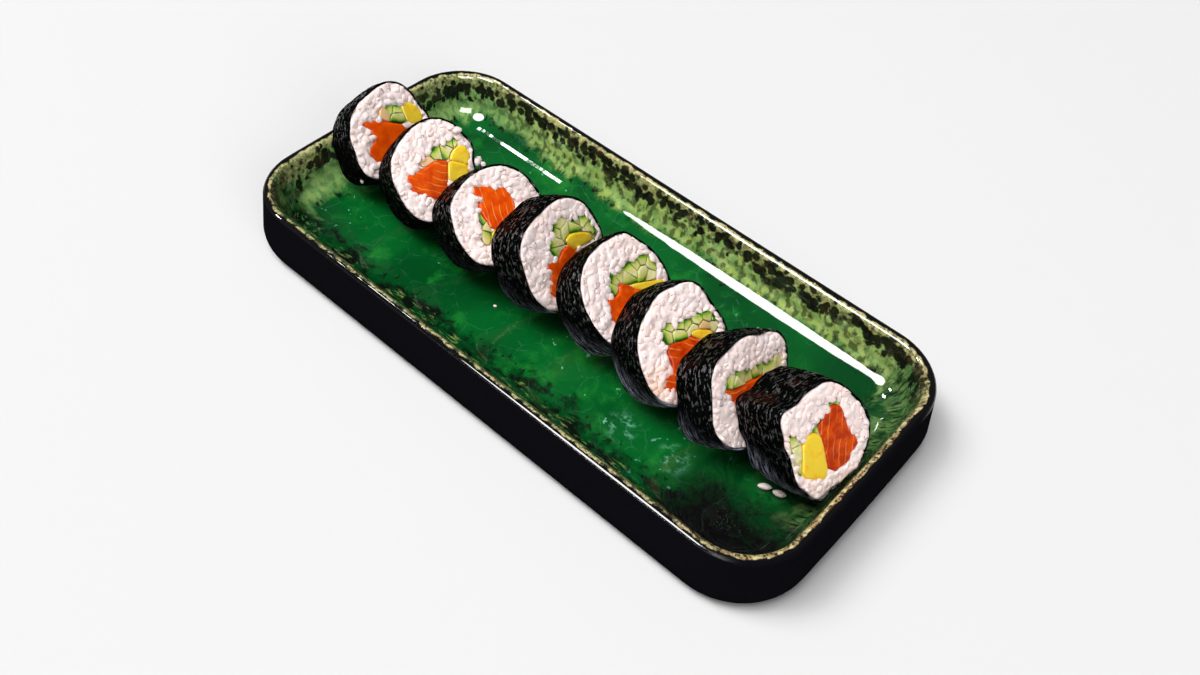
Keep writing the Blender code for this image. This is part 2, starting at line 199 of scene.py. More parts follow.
# ------------------------------------------------------------------ node trees
class Wiring:
    """Adds nodes to a tree; an input is a plain value or the node or socket that feeds it."""

    def __init__(self, tree):
        self.tree = tree

    def feed(self, socket, value):
        if isinstance(value, Amount):
            value = value.socket
        elif isinstance(value, bpy.types.Node):
            value = value.outputs[0]
        if isinstance(value, bpy.types.NodeSocket):
            self.tree.links.new(value, socket)
        elif socket.type == "RGBA":
            socket.default_value = (*value, 1.0)
        else:
            socket.default_value = value

    def add(self, kind, inputs=None, **settings):
        node = self.tree.nodes.new(kind)
        for name, value in settings.items():
            setattr(node, name, value)
        for key, value in (inputs or {}).items():
            self.feed(node.inputs[key], value)
        return node

    def push(self, scale, reach, **vector):
        """A push in a wandering direction, by up to about half of reach."""
        cloud = self.add("ShaderNodeTexNoise", {"Scale": scale, "Detail": 2.0, **vector})
        centred = self.add("ShaderNodeVectorMath",
                           {0: cloud.outputs["Color"], 1: (0.5, 0.5, 0.5)}, operation="SUBTRACT")
        return self.add("ShaderNodeVectorMath", {0: centred, "Scale": reach}, operation="SCALE")


class Amount:
    """A number that varies over a surface; sums and products of amounts are Math nodes."""

    def __init__(self, finish, socket):
        self.finish = finish
        self.socket = socket

    def __add__(self, other):
        return self.finish.math("ADD", self, other)

    def __sub__(self, other):
        return self.finish.math("SUBTRACT", self, other)

    def __rsub__(self, other):
        return self.finish.math("SUBTRACT", other, self)

    def __mul__(self, other):
        return self.finish.math("MULTIPLY", self, other)

    def __abs__(self):
        return self.finish.math("ABSOLUTE", self)


class Finish(Wiring):
    """A Principled material and short ways to the patterns that colour it."""

    def __init__(self, name):
        self.material = bpy.data.materials.new(name)
        self.material.use_nodes = True
        super().__init__(self.material.node_tree)
        self.shader = self.tree.nodes["Principled BSDF"]
        self.position = self.add("ShaderNodeTexCoord").outputs["Object"]

    def surface(self, **inputs):
        for name, value in inputs.items():
            self.feed(self.shader.inputs[name.replace("_", " ")], value)

    def attribute(self, name, output="Vector"):
        return self.add("ShaderNodeAttribute", attribute_name=name).outputs[output]

    def parts(self, vector):
        """The three components of a vector."""
        return [Amount(self, socket)
                for socket in self.add("ShaderNodeSeparateXYZ", {"Vector": vector}).outputs]

    def away(self, place):
        """The distance from a place."""
        node = self.add("ShaderNodeVectorMath", {0: self.position, 1: place},
                        operation="DISTANCE")
        return Amount(self, node.outputs["Value"])

    def stretch(self, vector, scale):
        return self.add("ShaderNodeMapping", {"Vector": vector, "Scale": scale}).outputs[0]

    def bend(self, vector, scale, reach):
        """The vector pushed about by noise."""
        push = self.push(scale, reach, Vector=vector)
        return self.add("ShaderNodeVectorMath", {0: vector, 1: push}).outputs[0]

    def noise(self, vector, scale, detail=3.0, roughness=0.5, distortion=0.0):
        """Noise of one scale, or of a scale for each axis where three are given."""
        if isinstance(scale, tuple):
            vector = self.stretch(vector, scale)
            scale = 1.0
        node = self.add("ShaderNodeTexNoise",
                        {"Vector": vector, "Scale": scale, "Detail": detail,
                         "Roughness": roughness, "Distortion": distortion})
        return Amount(self, node.outputs["Fac"])

    def cells(self, vector, scale, feature="F1"):
        node = self.add("ShaderNodeTexVoronoi", {"Vector": vector, "Scale": scale},
                        feature=feature)
        return Amount(self, node.outputs["Distance"])

    def math(self, operation, first, second=0.0, clamp=False):
        node = self.add("ShaderNodeMath", {0: first, 1: second}, operation=operation,
                        use_clamp=clamp)
        return Amount(self, node.outputs[0])

    def remap(self, value, low, high, new_low=0.0, new_high=1.0):
        """A smooth step from new_low, where the value is low, to new_high, where it is high."""
        node = self.add("ShaderNodeMapRange",
                        {"Value": value, "From Min": low, "From Max": high,
                         "To Min": new_low, "To Max": new_high},
                        interpolation_type="SMOOTHSTEP")
        return Amount(self, node.outputs["Result"])

    def mix(self, share, first, second):
        """Two colours, each a triple or a socket, with a share of the second."""
        return self.add("ShaderNodeMix", {0: share, 6: first, 7: second},
                        data_type="RGBA").outputs[2]

    def ramp(self, value, stops):
        """Colours in turn as the value passes the place of each."""
        node = self.add("ShaderNodeValToRGB", {"Fac": value})
        elements = node.color_ramp.elements
        while len(elements) < len(stops):
            elements.new(0.5)
        for element, (place, shade) in zip(elements, stops):
            element.position = place
            element.color = (*shade, 1.0)
        return node.outputs["Color"]

    def bump(self, height, distance, strength):
        """Raise the surface, on top of what raised it before."""
        node = self.add("ShaderNodeBump",
                        {"Height": height, "Distance": distance, "Strength": strength})
        normal = self.shader.inputs["Normal"]
        if normal.is_linked:
            self.feed(node.inputs["Normal"], normal.links[0].from_socket)
        self.feed(normal, node)


# ------------------------------------------------------------------ mesh helpers
def new_object(name, data):
    piece = bpy.data.objects.new(name, data)
    bpy.context.scene.collection.objects.link(piece)
    return piece


def mesh_from(name, points, faces):
    mesh = bpy.data.meshes.new(name)
    mesh.from_pydata([tuple(point) for point in points], [], faces)
    mesh.validate()
    mesh.shade_smooth()
    return mesh


def skin_rings(rings, closed=False):
    """Points and faces of a skin over rings of equal length, capped unless it closes on itself."""
    count = len(rings[0])
    points = np.concatenate(rings)
    faces = []
    last = len(rings) if closed else len(rings) - 1
    for row in range(last):
        low = row * count
        high = (row + 1) % len(rings) * count
        for i in range(count):
            j = (i + 1) % count
            faces.append((low + i, low + j, high + j, high + i))
    if not closed:
        faces.append(tuple(range(count - 1, -1, -1)))
        top = (len(rings) - 1) * count
        faces.append(tuple(range(top, top + count)))
    return points, faces


def settle_modifiers(piece):
    """Replace a piece's mesh by the one that its modifiers make, and drop them."""
    view = bpy.context.evaluated_depsgraph_get()
    mesh = bpy.data.meshes.new_from_object(piece.evaluated_get(view))
    mesh.name = piece.name
    piece.modifiers.clear()
    piece.data = mesh


def points_of(mesh, what="co"):
    """Each point's place, or its normal, as rows of an array."""
    points = np.empty(len(mesh.vertices) * 3)
    mesh.vertices.foreach_get(what, points)
    return points.reshape(-1, 3)


def move_points(mesh, points):
    mesh.vertices.foreach_set("co", points.ravel())
    mesh.update()


def merged(mesh):
    """A copy of a CAD mesh to work on, with its loose triangles joined up."""
    bm = bmesh.new()
    bm.from_mesh(mesh)
    bmesh.ops.remove_doubles(bm, verts=bm.verts, dist=0.001 * MM)
    return bm


def around(count):
    """Evenly spaced angles of a full turn and their points on the unit circle."""
    angles = np.linspace(0, 2 * math.pi, count, endpoint=False)
    return angles, np.stack([np.cos(angles), np.sin(angles)], 1)


def polar(flat):
    """The angle and the distance from the middle of each point."""
    return np.arctan2(flat[:, 1], flat[:, 0]), np.hypot(flat[:, 0], flat[:, 1])


def raise_to(flat, height):
    """Flat points at one height, or at a height each."""
    return np.column_stack([flat, np.broadcast_to(height, len(flat))])


def store_vector(mesh, name, values):
    attribute = mesh.attributes.new(name, "FLOAT_VECTOR", "POINT")
    attribute.data.foreach_set("vector", np.asarray(values, dtype=np.float32).ravel())


def skinned(name, rings, move=None, closed=False, **attributes):
    """A closed mesh over rings, its points moved, with its faces turned outwards."""
    points, faces = skin_rings(rings, closed)
    mesh = mesh_from(name, move(points) if move else points, faces)
    for key, values in attributes.items():
        store_vector(mesh, key, values)
    bm = bmesh.new()
    bm.from_mesh(mesh)
    bmesh.ops.recalc_face_normals(bm, faces=bm.faces)
    bm.to_mesh(mesh)
    bm.free()
    return mesh


def lumps(points, scale, seed=0.0):
    """Smooth noise from -1 to 1 at each point."""
    return np.array([noise.noise(Vector(point) * scale + Vector((seed, -seed, 2 * seed)))
                     for point in points])


def join_meshes(name, meshes):
    """One mesh of several, with their point attributes kept."""
    pieces = [new_object("%s_part" % name, mesh) for mesh in meshes]
    with bpy.context.temp_override(active_object=pieces[0], selected_objects=pieces,
                                   selected_editable_objects=pieces):
        bpy.ops.object.join()
    pieces[0].name = name
    return pieces[0]


def hand_over(piece, material, slot, *nodes):
    """Give a finished piece its material and its body, and hide the nodes it stands for; the slot is
    not used.
    """
    piece.data.materials.clear()
    piece.data.materials.append(material)
    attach(piece, "root")
    if nodes:
        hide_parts(*nodes)


# ------------------------------------------------------------------ slices
class Slice:
    """One cut slice, as its CAD nodes give it.

    Its own axes run right, up and out of the cut face; depth is measured into the slice.
    """

    def __init__(self, number):
        self.number = number
        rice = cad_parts["rice_%d" % number].data
        areas = {}
        for face in rice.polygons:
            if face.normal.x > 0 and face.normal.z > 0:
                key = tuple(round(value, 2) for value in face.normal)
                area, total = areas.get(key, (0.0, Vector()))
                areas[key] = (area + face.area, total + face.normal * face.area)
        self.out = max(areas.values(), key=lambda entry: entry[0])[1].normalized()
        upright = Vector((0, 0, 1))
        self.up = (upright - self.out * self.out.z).normalized()
        self.right = self.up.cross(self.out)
        self.turn = np.array((self.right, self.up, self.out))
        sleeve = points_of(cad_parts["nori_%d" % number].data)
        local = sleeve @ self.turn.T
        front = local[:, 2] > local[:, 2].max() - 0.01 * MM
        self.centre = sleeve[front].mean(axis=0)
        self.thickness = np.ptp(local[:, 2])
        self.rings = self.read_rings(self.to_local(sleeve))

    def to_local(self, points):
        return (np.asarray(points) - self.centre) @ self.turn.T

    def to_world(self, points):
        return np.asarray(points) @ self.turn + self.centre

    def read_rings(self, local):
        """Smooth curves of the outer radius for the front, middle and back of the sleeve."""
        curves = []
        for depth in (0.0, self.thickness / 2, self.thickness):
            ring = local[np.abs(-local[:, 2] - depth) < 0.05 * MM]
            angle, radius = polar(ring)
            order = np.argsort(angle)
            breaks = np.flatnonzero(np.diff(angle[order]) > math.radians(2)) + 1
            outer = [max(group, key=lambda k: radius[k]) for group in np.split(order, breaks)]
            waves = self.waves(angle[outer])
            curves.append(np.linalg.lstsq(waves, radius[outer], rcond=None)[0])
        return curves

    @staticmethod
    def waves(angle, count=13):
        steps = np.arange(1, count + 1) * np.asarray(angle)[..., None]
        return np.concatenate([np.ones_like(steps[..., :1]), np.cos(steps), np.sin(steps)], -1)

    def radius(self, angle, depth):
        """Radius of the sleeve's outside at an angle and a depth."""
        waves = self.waves(angle)
        front, middle, back = (waves @ curve for curve in self.rings)
        t = depth / self.thickness
        return front * (1 - t) * (1 - 2 * t) + middle * 4 * t * (1 - t) + back * t * (2 * t - 1)

    def outline_of(self, node):
        """The node's outline on the cut face as an ordered loop of (right, up) points."""
        bm = merged(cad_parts[node].data)
        bm.normal_update()
        for face in bm.faces:
            face.tag = face.normal.dot(self.out) > 0.99
        links = {}
        for face in bm.faces:
            for loop in face.loops:
                if face.tag and sum(other.tag for other in loop.edge.link_faces) == 1:
                    links[loop.vert.index] = loop.link_loop_next.vert.index
        bm.verts.ensure_lookup_table()
        start = next(iter(links))
        chain = [start]
        while links[chain[-1]] != start:
            chain.append(links[chain[-1]])
        loop = self.to_local([bm.verts[index].co for index in chain])[:, :2]
        bm.free()
        return loop

    def fillings(self):
        """Names of the nodes that run through this slice's rice."""
        ending = "_%d" % self.number
        return sorted(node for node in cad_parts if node.endswith(ending)
                      and node.split("_")[0] in ("salmon", "mango", "cucumber"))


def inside_distance(points, loop):
    """Signed distance from each point to a closed loop, positive inside it."""
    start = loop
    end = np.roll(loop, -1, axis=0)
    away = np.full(len(points), np.inf)
    inside = np.zeros(len(points), dtype=bool)
    for a, b in zip(start, end):
        side = b - a
        t = np.clip(((points - a) @ side) / (side @ side), 0.0, 1.0)
        away = np.minimum(away, np.linalg.norm(points - a - t[:, None] * side, axis=1))
        crosses = (a[1] > points[:, 1]) != (b[1] > points[:, 1])
        reach = a[0] + (points[:, 1] - a[1]) / (side[1] if side[1] else 1e-12) * side[0]
        inside ^= crosses & (points[:, 0] < reach)
    return np.where(inside, away, -away)


SLICES = [Slice(number) for number in range(1, SLICE_COUNT + 1)]


# ------------------------------------------------------------------ tray
# Rings of the floor, as shares of the way from its middle line to the foot of the wall.
FLOOR_RINGS = (0.94, 0.84, 0.72, 0.56, 0.40, 0.22, 0.04)
# Middles of the two pale patches of painted reflection in the floor's glaze.
REFLECTION_PATCHES = ((0.0540, -0.0355, 0.0061), (0.0790, -0.0330, 0.0061))


def arc(centre, width, height, start, end, steps):
    """Points of an elliptical arc, both ends included; angles in degrees."""
    angles = np.radians(np.linspace(start, end, steps + 1))
    return np.stack([centre[0] + width * np.cos(angles), centre[1] + height * np.sin(angles)], 1)


def tray_section(tray, height):
    """The section from the foot over the lip to the floor, as (outward offset, height)."""
    foot = arc((tray.base_bulge - tray.foot_tuck, tray.bulge_height), tray.foot_tuck,
               tray.bulge_height, -90, 0, 10)
    outer = arc((-tray.lip_outer_radius, height - tray.lip_outer_radius),
                tray.lip_outer_radius, tray.lip_outer_radius, 0, 90, 8)
    wall = np.linspace(foot[-1], outer[0], 8)[1:-1]
    inner = arc((-tray.lip_outer_radius, height - tray.lip_inner_drop), tray.lip_inner_width,
                tray.lip_inner_drop, 90, 180, 8)[1:]
    cove = arc((-tray.cove_end_inset, tray.cove_start_height),
               tray.cove_end_inset - tray.cove_start_inset,
               tray.cove_start_height - tray.floor_height, 0, -90, 20)
    slope = np.linspace(inner[-1], cove[0], 5)[1:-1]
    return np.concatenate([foot, wall, outer, inner, slope, cove])


def rim_points(tray, half_length, half_width):
    """Evenly spaced points of the rim's outline and the way out at each of them."""
    radius = tray.corner_radius
    quarter = radius * math.pi / 2
    sides = (2 * (half_width - radius), quarter, 2 * (half_length - radius), quarter) * 2
    corners = ((1, 1), (-1, 1), (-1, -1), (1, -1))
    total = sum(sides)
    points = []
    ways = []
    for step in range(tray.around):
        left = total * step / tray.around
        piece = 0
        while left > sides[piece]:
            left -= sides[piece]
            piece += 1
        turn, on_corner = divmod(piece, 2)
        heading = math.pi / 2 * turn
        if on_corner:
            sign = corners[turn]
            heading += left / radius
            middle = Vector((sign[0] * (half_length - radius), sign[1] * (half_width - radius)))
            way = Vector((math.cos(heading), math.sin(heading)))
            point = middle + way * radius
        else:
            way = Vector((math.cos(heading), math.sin(heading)))
            along = Vector((-way.y, way.x))
            reach = half_length if turn % 2 == 0 else half_width
            point = way * reach + along * (left - sides[piece] / 2)
        points.append(point)
        ways.append(way)
    return np.array(points), np.array(ways)


def tray_mesh(tray):
    low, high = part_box("tray")
    half_length = high[0] - tray.base_bulge - tray.end_bow
    half_width = high[1] - tray.base_bulge
    rim, way = rim_points(tray, half_length, half_width)
    section = tray_section(tray, high[2] - low[2])
    crest = int(np.argmax(section[:, 1]))
    steps = np.linalg.norm(np.diff(section, axis=0), axis=1)
    run = np.concatenate([[0.0], np.cumsum(steps)])
    run -= run[crest]
    straight = half_length - tray.corner_radius
    rings = []
    flow = []
    for (offset, height), along in zip(section, run):
        ring = rim + way * offset
        nearness = np.clip((np.abs(ring[:, 0]) - straight) / (tray.corner_radius + offset), 0, 1)
        bow = tray.end_bow * nearness * (1 - (ring[:, 1] / (half_width + offset)) ** 2)
        ring[:, 0] += np.sign(ring[:, 0]) * bow
        rings.append(raise_to(ring, height))
        flow.append(raise_to(rim, along))
    border = rings[-1]
    spine = np.zeros_like(border)
    spine[:, 0] = np.clip(border[:, 0], half_width - half_length, half_length - half_width)
    spine[:, 2] = border[:, 2]
    away = np.linalg.norm(border - spine, axis=1)
    for share in FLOOR_RINGS:
        rings.append(spine + (border - spine) * share)
        flow.append(raise_to(rim, run[-1] + away * (1 - share)))
    return skinned("tray_glazed", rings, flow=np.concatenate(flow))


def glaze_finish(tray):
    """Emerald glaze pooled in the tray, breaking to sage, cream and black up its walls."""
    glaze = Finish("stoneware glaze")
    mix = glaze.mix
    remap = glaze.remap
    noise = glaze.noise
    place = glaze.position
    x, y, _height = glaze.parts(place)
    flow = glaze.attribute("flow")
    rim_x, rim_y, run = glaze.parts(flow)
    near_side = remap(rim_y, -0.040, -0.062)
    off_near_side = 1.0 - near_side
    near_end = remap(rim_x, 0.112, 0.135)
    far_end = remap(rim_x, -0.118, -0.136)

    # how far down the wall a point counts as being, with a wandering edge
    middling = noise(flow, 210.0, 3.0, 0.6)
    fine = noise(flow, 780.0, 3.0, 0.6)
    wander = (noise(flow, 62.0, 2.0) - 0.5) * 0.014 + (middling - 0.5) * 0.009
    level = run + wander
    shallow = level - (near_side * 0.0205 + near_end * 0.0020 + far_end * 0.0030)
    deep = level - (near_side * 0.0150 + near_end * 0.0100 + far_end * 0.0050)

    # floor: clouds of emerald, cracks, mint flecks, patches of painted reflection and painted shade
    # darkening the far corner
    clouds = remap(noise(place, 24.0, 3.0, 0.5, 0.5), 0.32, 0.58, 0.20, 1.0)
    pool = mix(clouds, tray.emerald_deep_and_shade, tray.emerald)
    pool = mix(remap(noise(place, 70.0, 5.0, 0.62), 0.50, 0.72), pool, tray.emerald_light)
    craze = glaze.cells(glaze.bend(place, 55.0, 0.012), 78.0, "DISTANCE_TO_EDGE")
    craze = remap(craze, 0.022, 0.008) * remap(middling, 0.40, 0.60)
    pool = mix(craze * 0.08, pool, tray.mint_and_reflection)
    fleck = remap(noise(glaze.bend(place, 130.0, 0.006), 260.0, 2.0), 0.685, 0.72)
    pool = mix(fleck * remap(noise(place, 34.0, 1.0), 0.52, 0.60), pool, tray.mint_and_reflection)
    # painted reflection: two hazy pale patches in the floor where the glossy glaze would mirror the
    # rice
    reflection_haze = remap(noise(place, 210.0, 4.0, 0.7), 0.46, 0.66)
    for middle in REFLECTION_PATCHES:
        near = remap(glaze.away(middle), 0.0095, 0.0020)
        pool = mix(reflection_haze * near * 0.95, pool, tray.mint_and_reflection)
    # painted shade: the floor behind the last slice, towards the far corner, is darkened to deep
    # emerald
    far_corner_shade = remap(y, 0.008, 0.022) * remap(x, 0.072, 0.104, 0.0, 0.92)
    pool = mix(far_corner_shade, pool, tray.emerald_deep_and_shade)

    # walls: sage with olive speckles that run downwards, greener towards both ends
    wash = remap(noise(flow, (260.0, 260.0, 150.0)), 0.34, 0.66)
    sage = mix(wash, tray.sage, tray.sage_light)
    sage = mix(remap(noise(flow, 240.0, 2.0), 0.38, 0.64, 0.0, 0.60), sage, tray.leaf)
    down = noise(flow, (330.0, 330.0, 270.0), 2.0, 0.45)
    sage = mix(remap(down, 0.48, 0.62, 0.0, 0.85), sage, tray.olive)
    sage = mix(remap(middling, 0.55, 0.68, 0.0, 0.5), sage, tray.umber)
    sage = mix(near_end * 0.60, sage, tray.leaf)
    sage = mix(remap(rim_x, -0.070, -0.128, 0.0, 0.55), sage, tray.leaf)
    green = glaze.math("SUBTRACT", 1.0, near_side + near_end * 0.30, clamp=True)
    inner = mix(remap(deep, 0.0243, 0.0168) * green, pool, sage)
    edge = remap(abs(deep - 0.0225), 0.0042, 0.0010)
    specks = remap(noise(flow, (270.0, 270.0, 210.0), 2.0, 0.5, 0.4), 0.55, 0.64)
    inner = mix(edge * specks * 0.85, inner, tray.black)

    # at the near side and end black glaze has run far down, with sage streaks over it
    bank = level + wander - (near_side * -0.0020 + near_end * 0.0030)
    banked = glaze.math("MAXIMUM", near_side, near_end * 0.35)
    inner = mix(remap(bank, 0.0425, 0.0340, 0.0, 0.90) * banked, inner, tray.emerald_deep_and_shade)
    soot = remap(noise(flow, (105.0, 105.0, 190.0), 4.0, 0.62, 0.4), 0.42, 0.57)
    soot = soot * remap(bank, 0.0405, 0.0345)
    inner = mix(soot * banked * 0.93, inner, tray.black)
    runs = remap(noise(flow, (170.0, 170.0, 620.0), 3.0, 0.6, 0.5), 0.52, 0.66)
    runs = runs * remap(bank, 0.0345, 0.0300)
    inner = mix(runs * banked * 0.45, inner, sage)
    corner = remap(x, 0.074, 0.104) * remap(y, -0.019, -0.032)
    corner = corner * remap(middling, 0.40, 0.60, 1.0, 0.80)
    inner = mix(corner, inner, tray.black)
    shade = remap(noise(flow, 120.0, 2.0), 0.44, 0.58) * remap(level, 0.0135, 0.0200)
    inner = mix(shade * near_end * 0.80, inner, tray.emerald_deep_and_shade)
    pooled = corner * remap(level, 0.0150, 0.0230) * remap(y, -0.026, -0.042)
    inner = mix(pooled, inner, tray.black)
    streaks = remap(noise(flow, (620.0, 620.0, 170.0), 3.0, 0.6, 0.3), 0.49, 0.60)
    streaks = streaks * remap(level, 0.0300, 0.0220)
    inner = mix(streaks * near_end * 0.85, inner, tray.black)

    # black blobs crowd together under the rim
    lip = run + (middling - 0.5) * 0.0035 + near_side * 0.0010
    crowd = glaze.math("MINIMUM", remap(shallow, 0.0140, 0.0080),
                       remap(shallow, 0.0015, 0.0062, 0.42, 1.0)) * off_near_side
    blob = glaze.cells(glaze.bend(flow, 300.0, 0.0020), 275.0) - crowd * 0.74
    patches = remap(noise(flow, 140.0, 2.0, 0.5, 0.3), 0.52, 0.62) * off_near_side
    patches = patches * remap(shallow, 0.0030, 0.0065) * remap(shallow, 0.0150, 0.0110)
    blob = glaze.math("MAXIMUM", remap(blob, 0.12, -0.14), patches)
    tint = mix(remap(middling, 0.50, 0.68), tray.black, tray.umber)
    inner = mix(blob * 0.97, inner, tint)

    # cream breaks through between them, and gold at the near end
    mottle = mix(remap(fine, 0.42, 0.55), tray.umber, tray.gold)
    mottle = mix(remap(noise(flow, 480.0, 2.0), 0.50, 0.62), mottle, tray.cream)
    veins = (1.0 - blob) * (near_side * -0.5 + 0.6)
    inner = mix(remap(level, 0.0090, 0.0060) * veins, inner, mottle)
    line = remap(lip, 0.0028, 0.0021) * remap(middling, 0.42, 0.52)
    line = line * remap(fine, 0.42, 0.54, 0.25, 1.0)
    inner = mix(line * 0.8, inner, tray.cream)
    facing = near_end * remap(rim_y, 0.054, 0.034, 0.10, 1.0)
    inner = mix(remap(lip, 0.0085, 0.0062) * facing * 0.95, inner, mottle)

    # the black lip and the matt outside
    glazed = mix(remap(lip, 0.0015, 0.0009), inner, tray.black)
    matt = remap(run, -0.0026, -0.0034)
    matt = glaze.math("MAXIMUM", matt, facing * remap(run, 0.0002, -0.0006))
    matt = glaze.math("MAXIMUM", matt, near_side * remap(run, -0.0016, -0.0022))
    glaze.surface(Base_Color=mix(matt, glazed, tray.outside),
                  Roughness=remap(matt, 0.0, 1.0, 0.035, 0.50),
                  Specular_IOR_Level=remap(matt, 0.0, 1.0, 0.62, 0.0))
    glaze.bump(noise(place, 60.0, 2.0), 0.0009, 0.16)
    glaze.bump(noise(place, 1500.0) * matt, 0.00016, 0.8)
    return glaze.material


class MAKI_OT_tray(bpy.types.Operator):
    """Make the tray with its running glaze"""
    bl_idname = "maki.tray"
    bl_label = "Glaze the Tray"

    def execute(self, context):
        tray = context.scene.maki_tray
        piece = new_object("tray_glazed", tray_mesh(tray))
        hand_over(piece, glaze_finish(tray), "stoneware", "tray")
        return {"FINISHED"}


# ------------------------------------------------------------------ nori
def nori_mesh(nori, cut):
    """A closed sleeve with wrinkled faces and slightly uneven cut edges."""
    angles, circle = around(nori.around)

    def ring(share, inset):
        seeds = raise_to(circle * 3.0, 7.0 * cut.number + 5 * share)
        ragged = lumps(seeds, 1.6) * nori.overhang * (1 if share < 0.5 else -1)
        depth = share * cut.thickness + ragged * abs(2 * share - 1) ** 4
        radius = cut.radius(angles, np.clip(depth, 0, cut.thickness)) - inset
        fold = lumps(raise_to(circle * 2.2, depth / MM * 0.55), 1.0, cut.number)
        crease = lumps(raise_to(circle * 5.0, depth / MM * 1.4), 1.0)
        radius = radius + fold * nori.wrinkle + crease * nori.wrinkle
        return raise_to(circle * radius[:, None], -depth)

    shares = np.linspace(0, 1, nori.across)
    rings = [ring(share, 0.0) for share in shares]
    rings += [ring(share, nori.thickness) for share in shares[::-1]]
    return skinned("nori", rings, cut.to_world, closed=True, place=np.concatenate(rings))


def nori_finish(nori):
    """Black pressed seaweed with fine fibres that run round the roll."""
    sheet = Finish("nori sheet")
    remap = sheet.remap
    place = sheet.attribute("place")
    x, _y, height = sheet.parts(sheet.position)
    along = sheet.bend(sheet.stretch(place, (150.0, 150.0, 1500.0)), 0.7, 1.1)
    fibres = sheet.noise(along, 1.0, 5.0, 0.7)
    base = sheet.mix(remap(fibres, 0.52, 0.74), nori.dark, nori.fibre)
    # reddish tint on the tops of the rolls, set by height alone
    top_tint = remap(sheet.noise(place, 95.0), 0.50, 0.66, 0.0, 0.7) * remap(height, 0.036, 0.050)
    base = sheet.mix(top_tint, base, nori.top_tint)
    # painted sheen: the lower part of each roll, more on the later slices, is lightened to greyish
    # blue
    sheen = remap(height, 0.031, 0.017) * remap(fibres, 0.46, 0.62) * remap(x, -0.075, 0.070)
    base = sheet.mix(sheen, base, nori.sheen)
    wet = remap(sheet.noise(place, (420.0, 420.0, 900.0)), 0.54, 0.62)
    wet = wet * remap(height, 0.026, 0.044, 0.12, 1.0)
    sheet.surface(Base_Color=base, Roughness=remap(wet, 0.0, 1.0, 0.40, 0.12),
                  Specular_IOR_Level=remap(wet, 0.0, 1.0, 0.0, 0.75))
    sheet.bump(fibres, 0.0004, 0.8)
    sheet.bump(sheet.noise(place, (1150.0, 1150.0, 1450.0), 3.0, 0.6), 0.0006, 0.9)
    return sheet.material


class MAKI_OT_nori(bpy.types.Operator):
    """Wrap every slice in its sheet of nori"""
    bl_idname = "maki.nori"
    bl_label = "Wrap the Nori"

    def execute(self, context):
        nori = context.scene.maki_nori
        material = nori_finish(nori)
        for cut in SLICES:
            piece = new_object("nori_sheet_%d" % cut.number, nori_mesh(nori, cut))
            hand_over(piece, material, "nori", "nori_%d" % cut.number)
        return {"FINISHED"}


# ------------------------------------------------------------------ rice
# Middle of the rice that the salmon has stained, on the sixth slice.
STAIN_PLACE = (0.0600, -0.0262, 0.0310)
# The patch that carries the grains reaches this far from the middle of a slice, and stops this
# far inside the nori and this far short of a filling.
PATCH_REACH = 30 * MM
RIM_MARGIN = 1.3 * MM
FILLING_MARGIN = 0.85 * MM
# How far inside the nori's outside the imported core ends, and how many points it has around.
CORE_INSET = 1.0 * MM
CORE_AROUND = 120


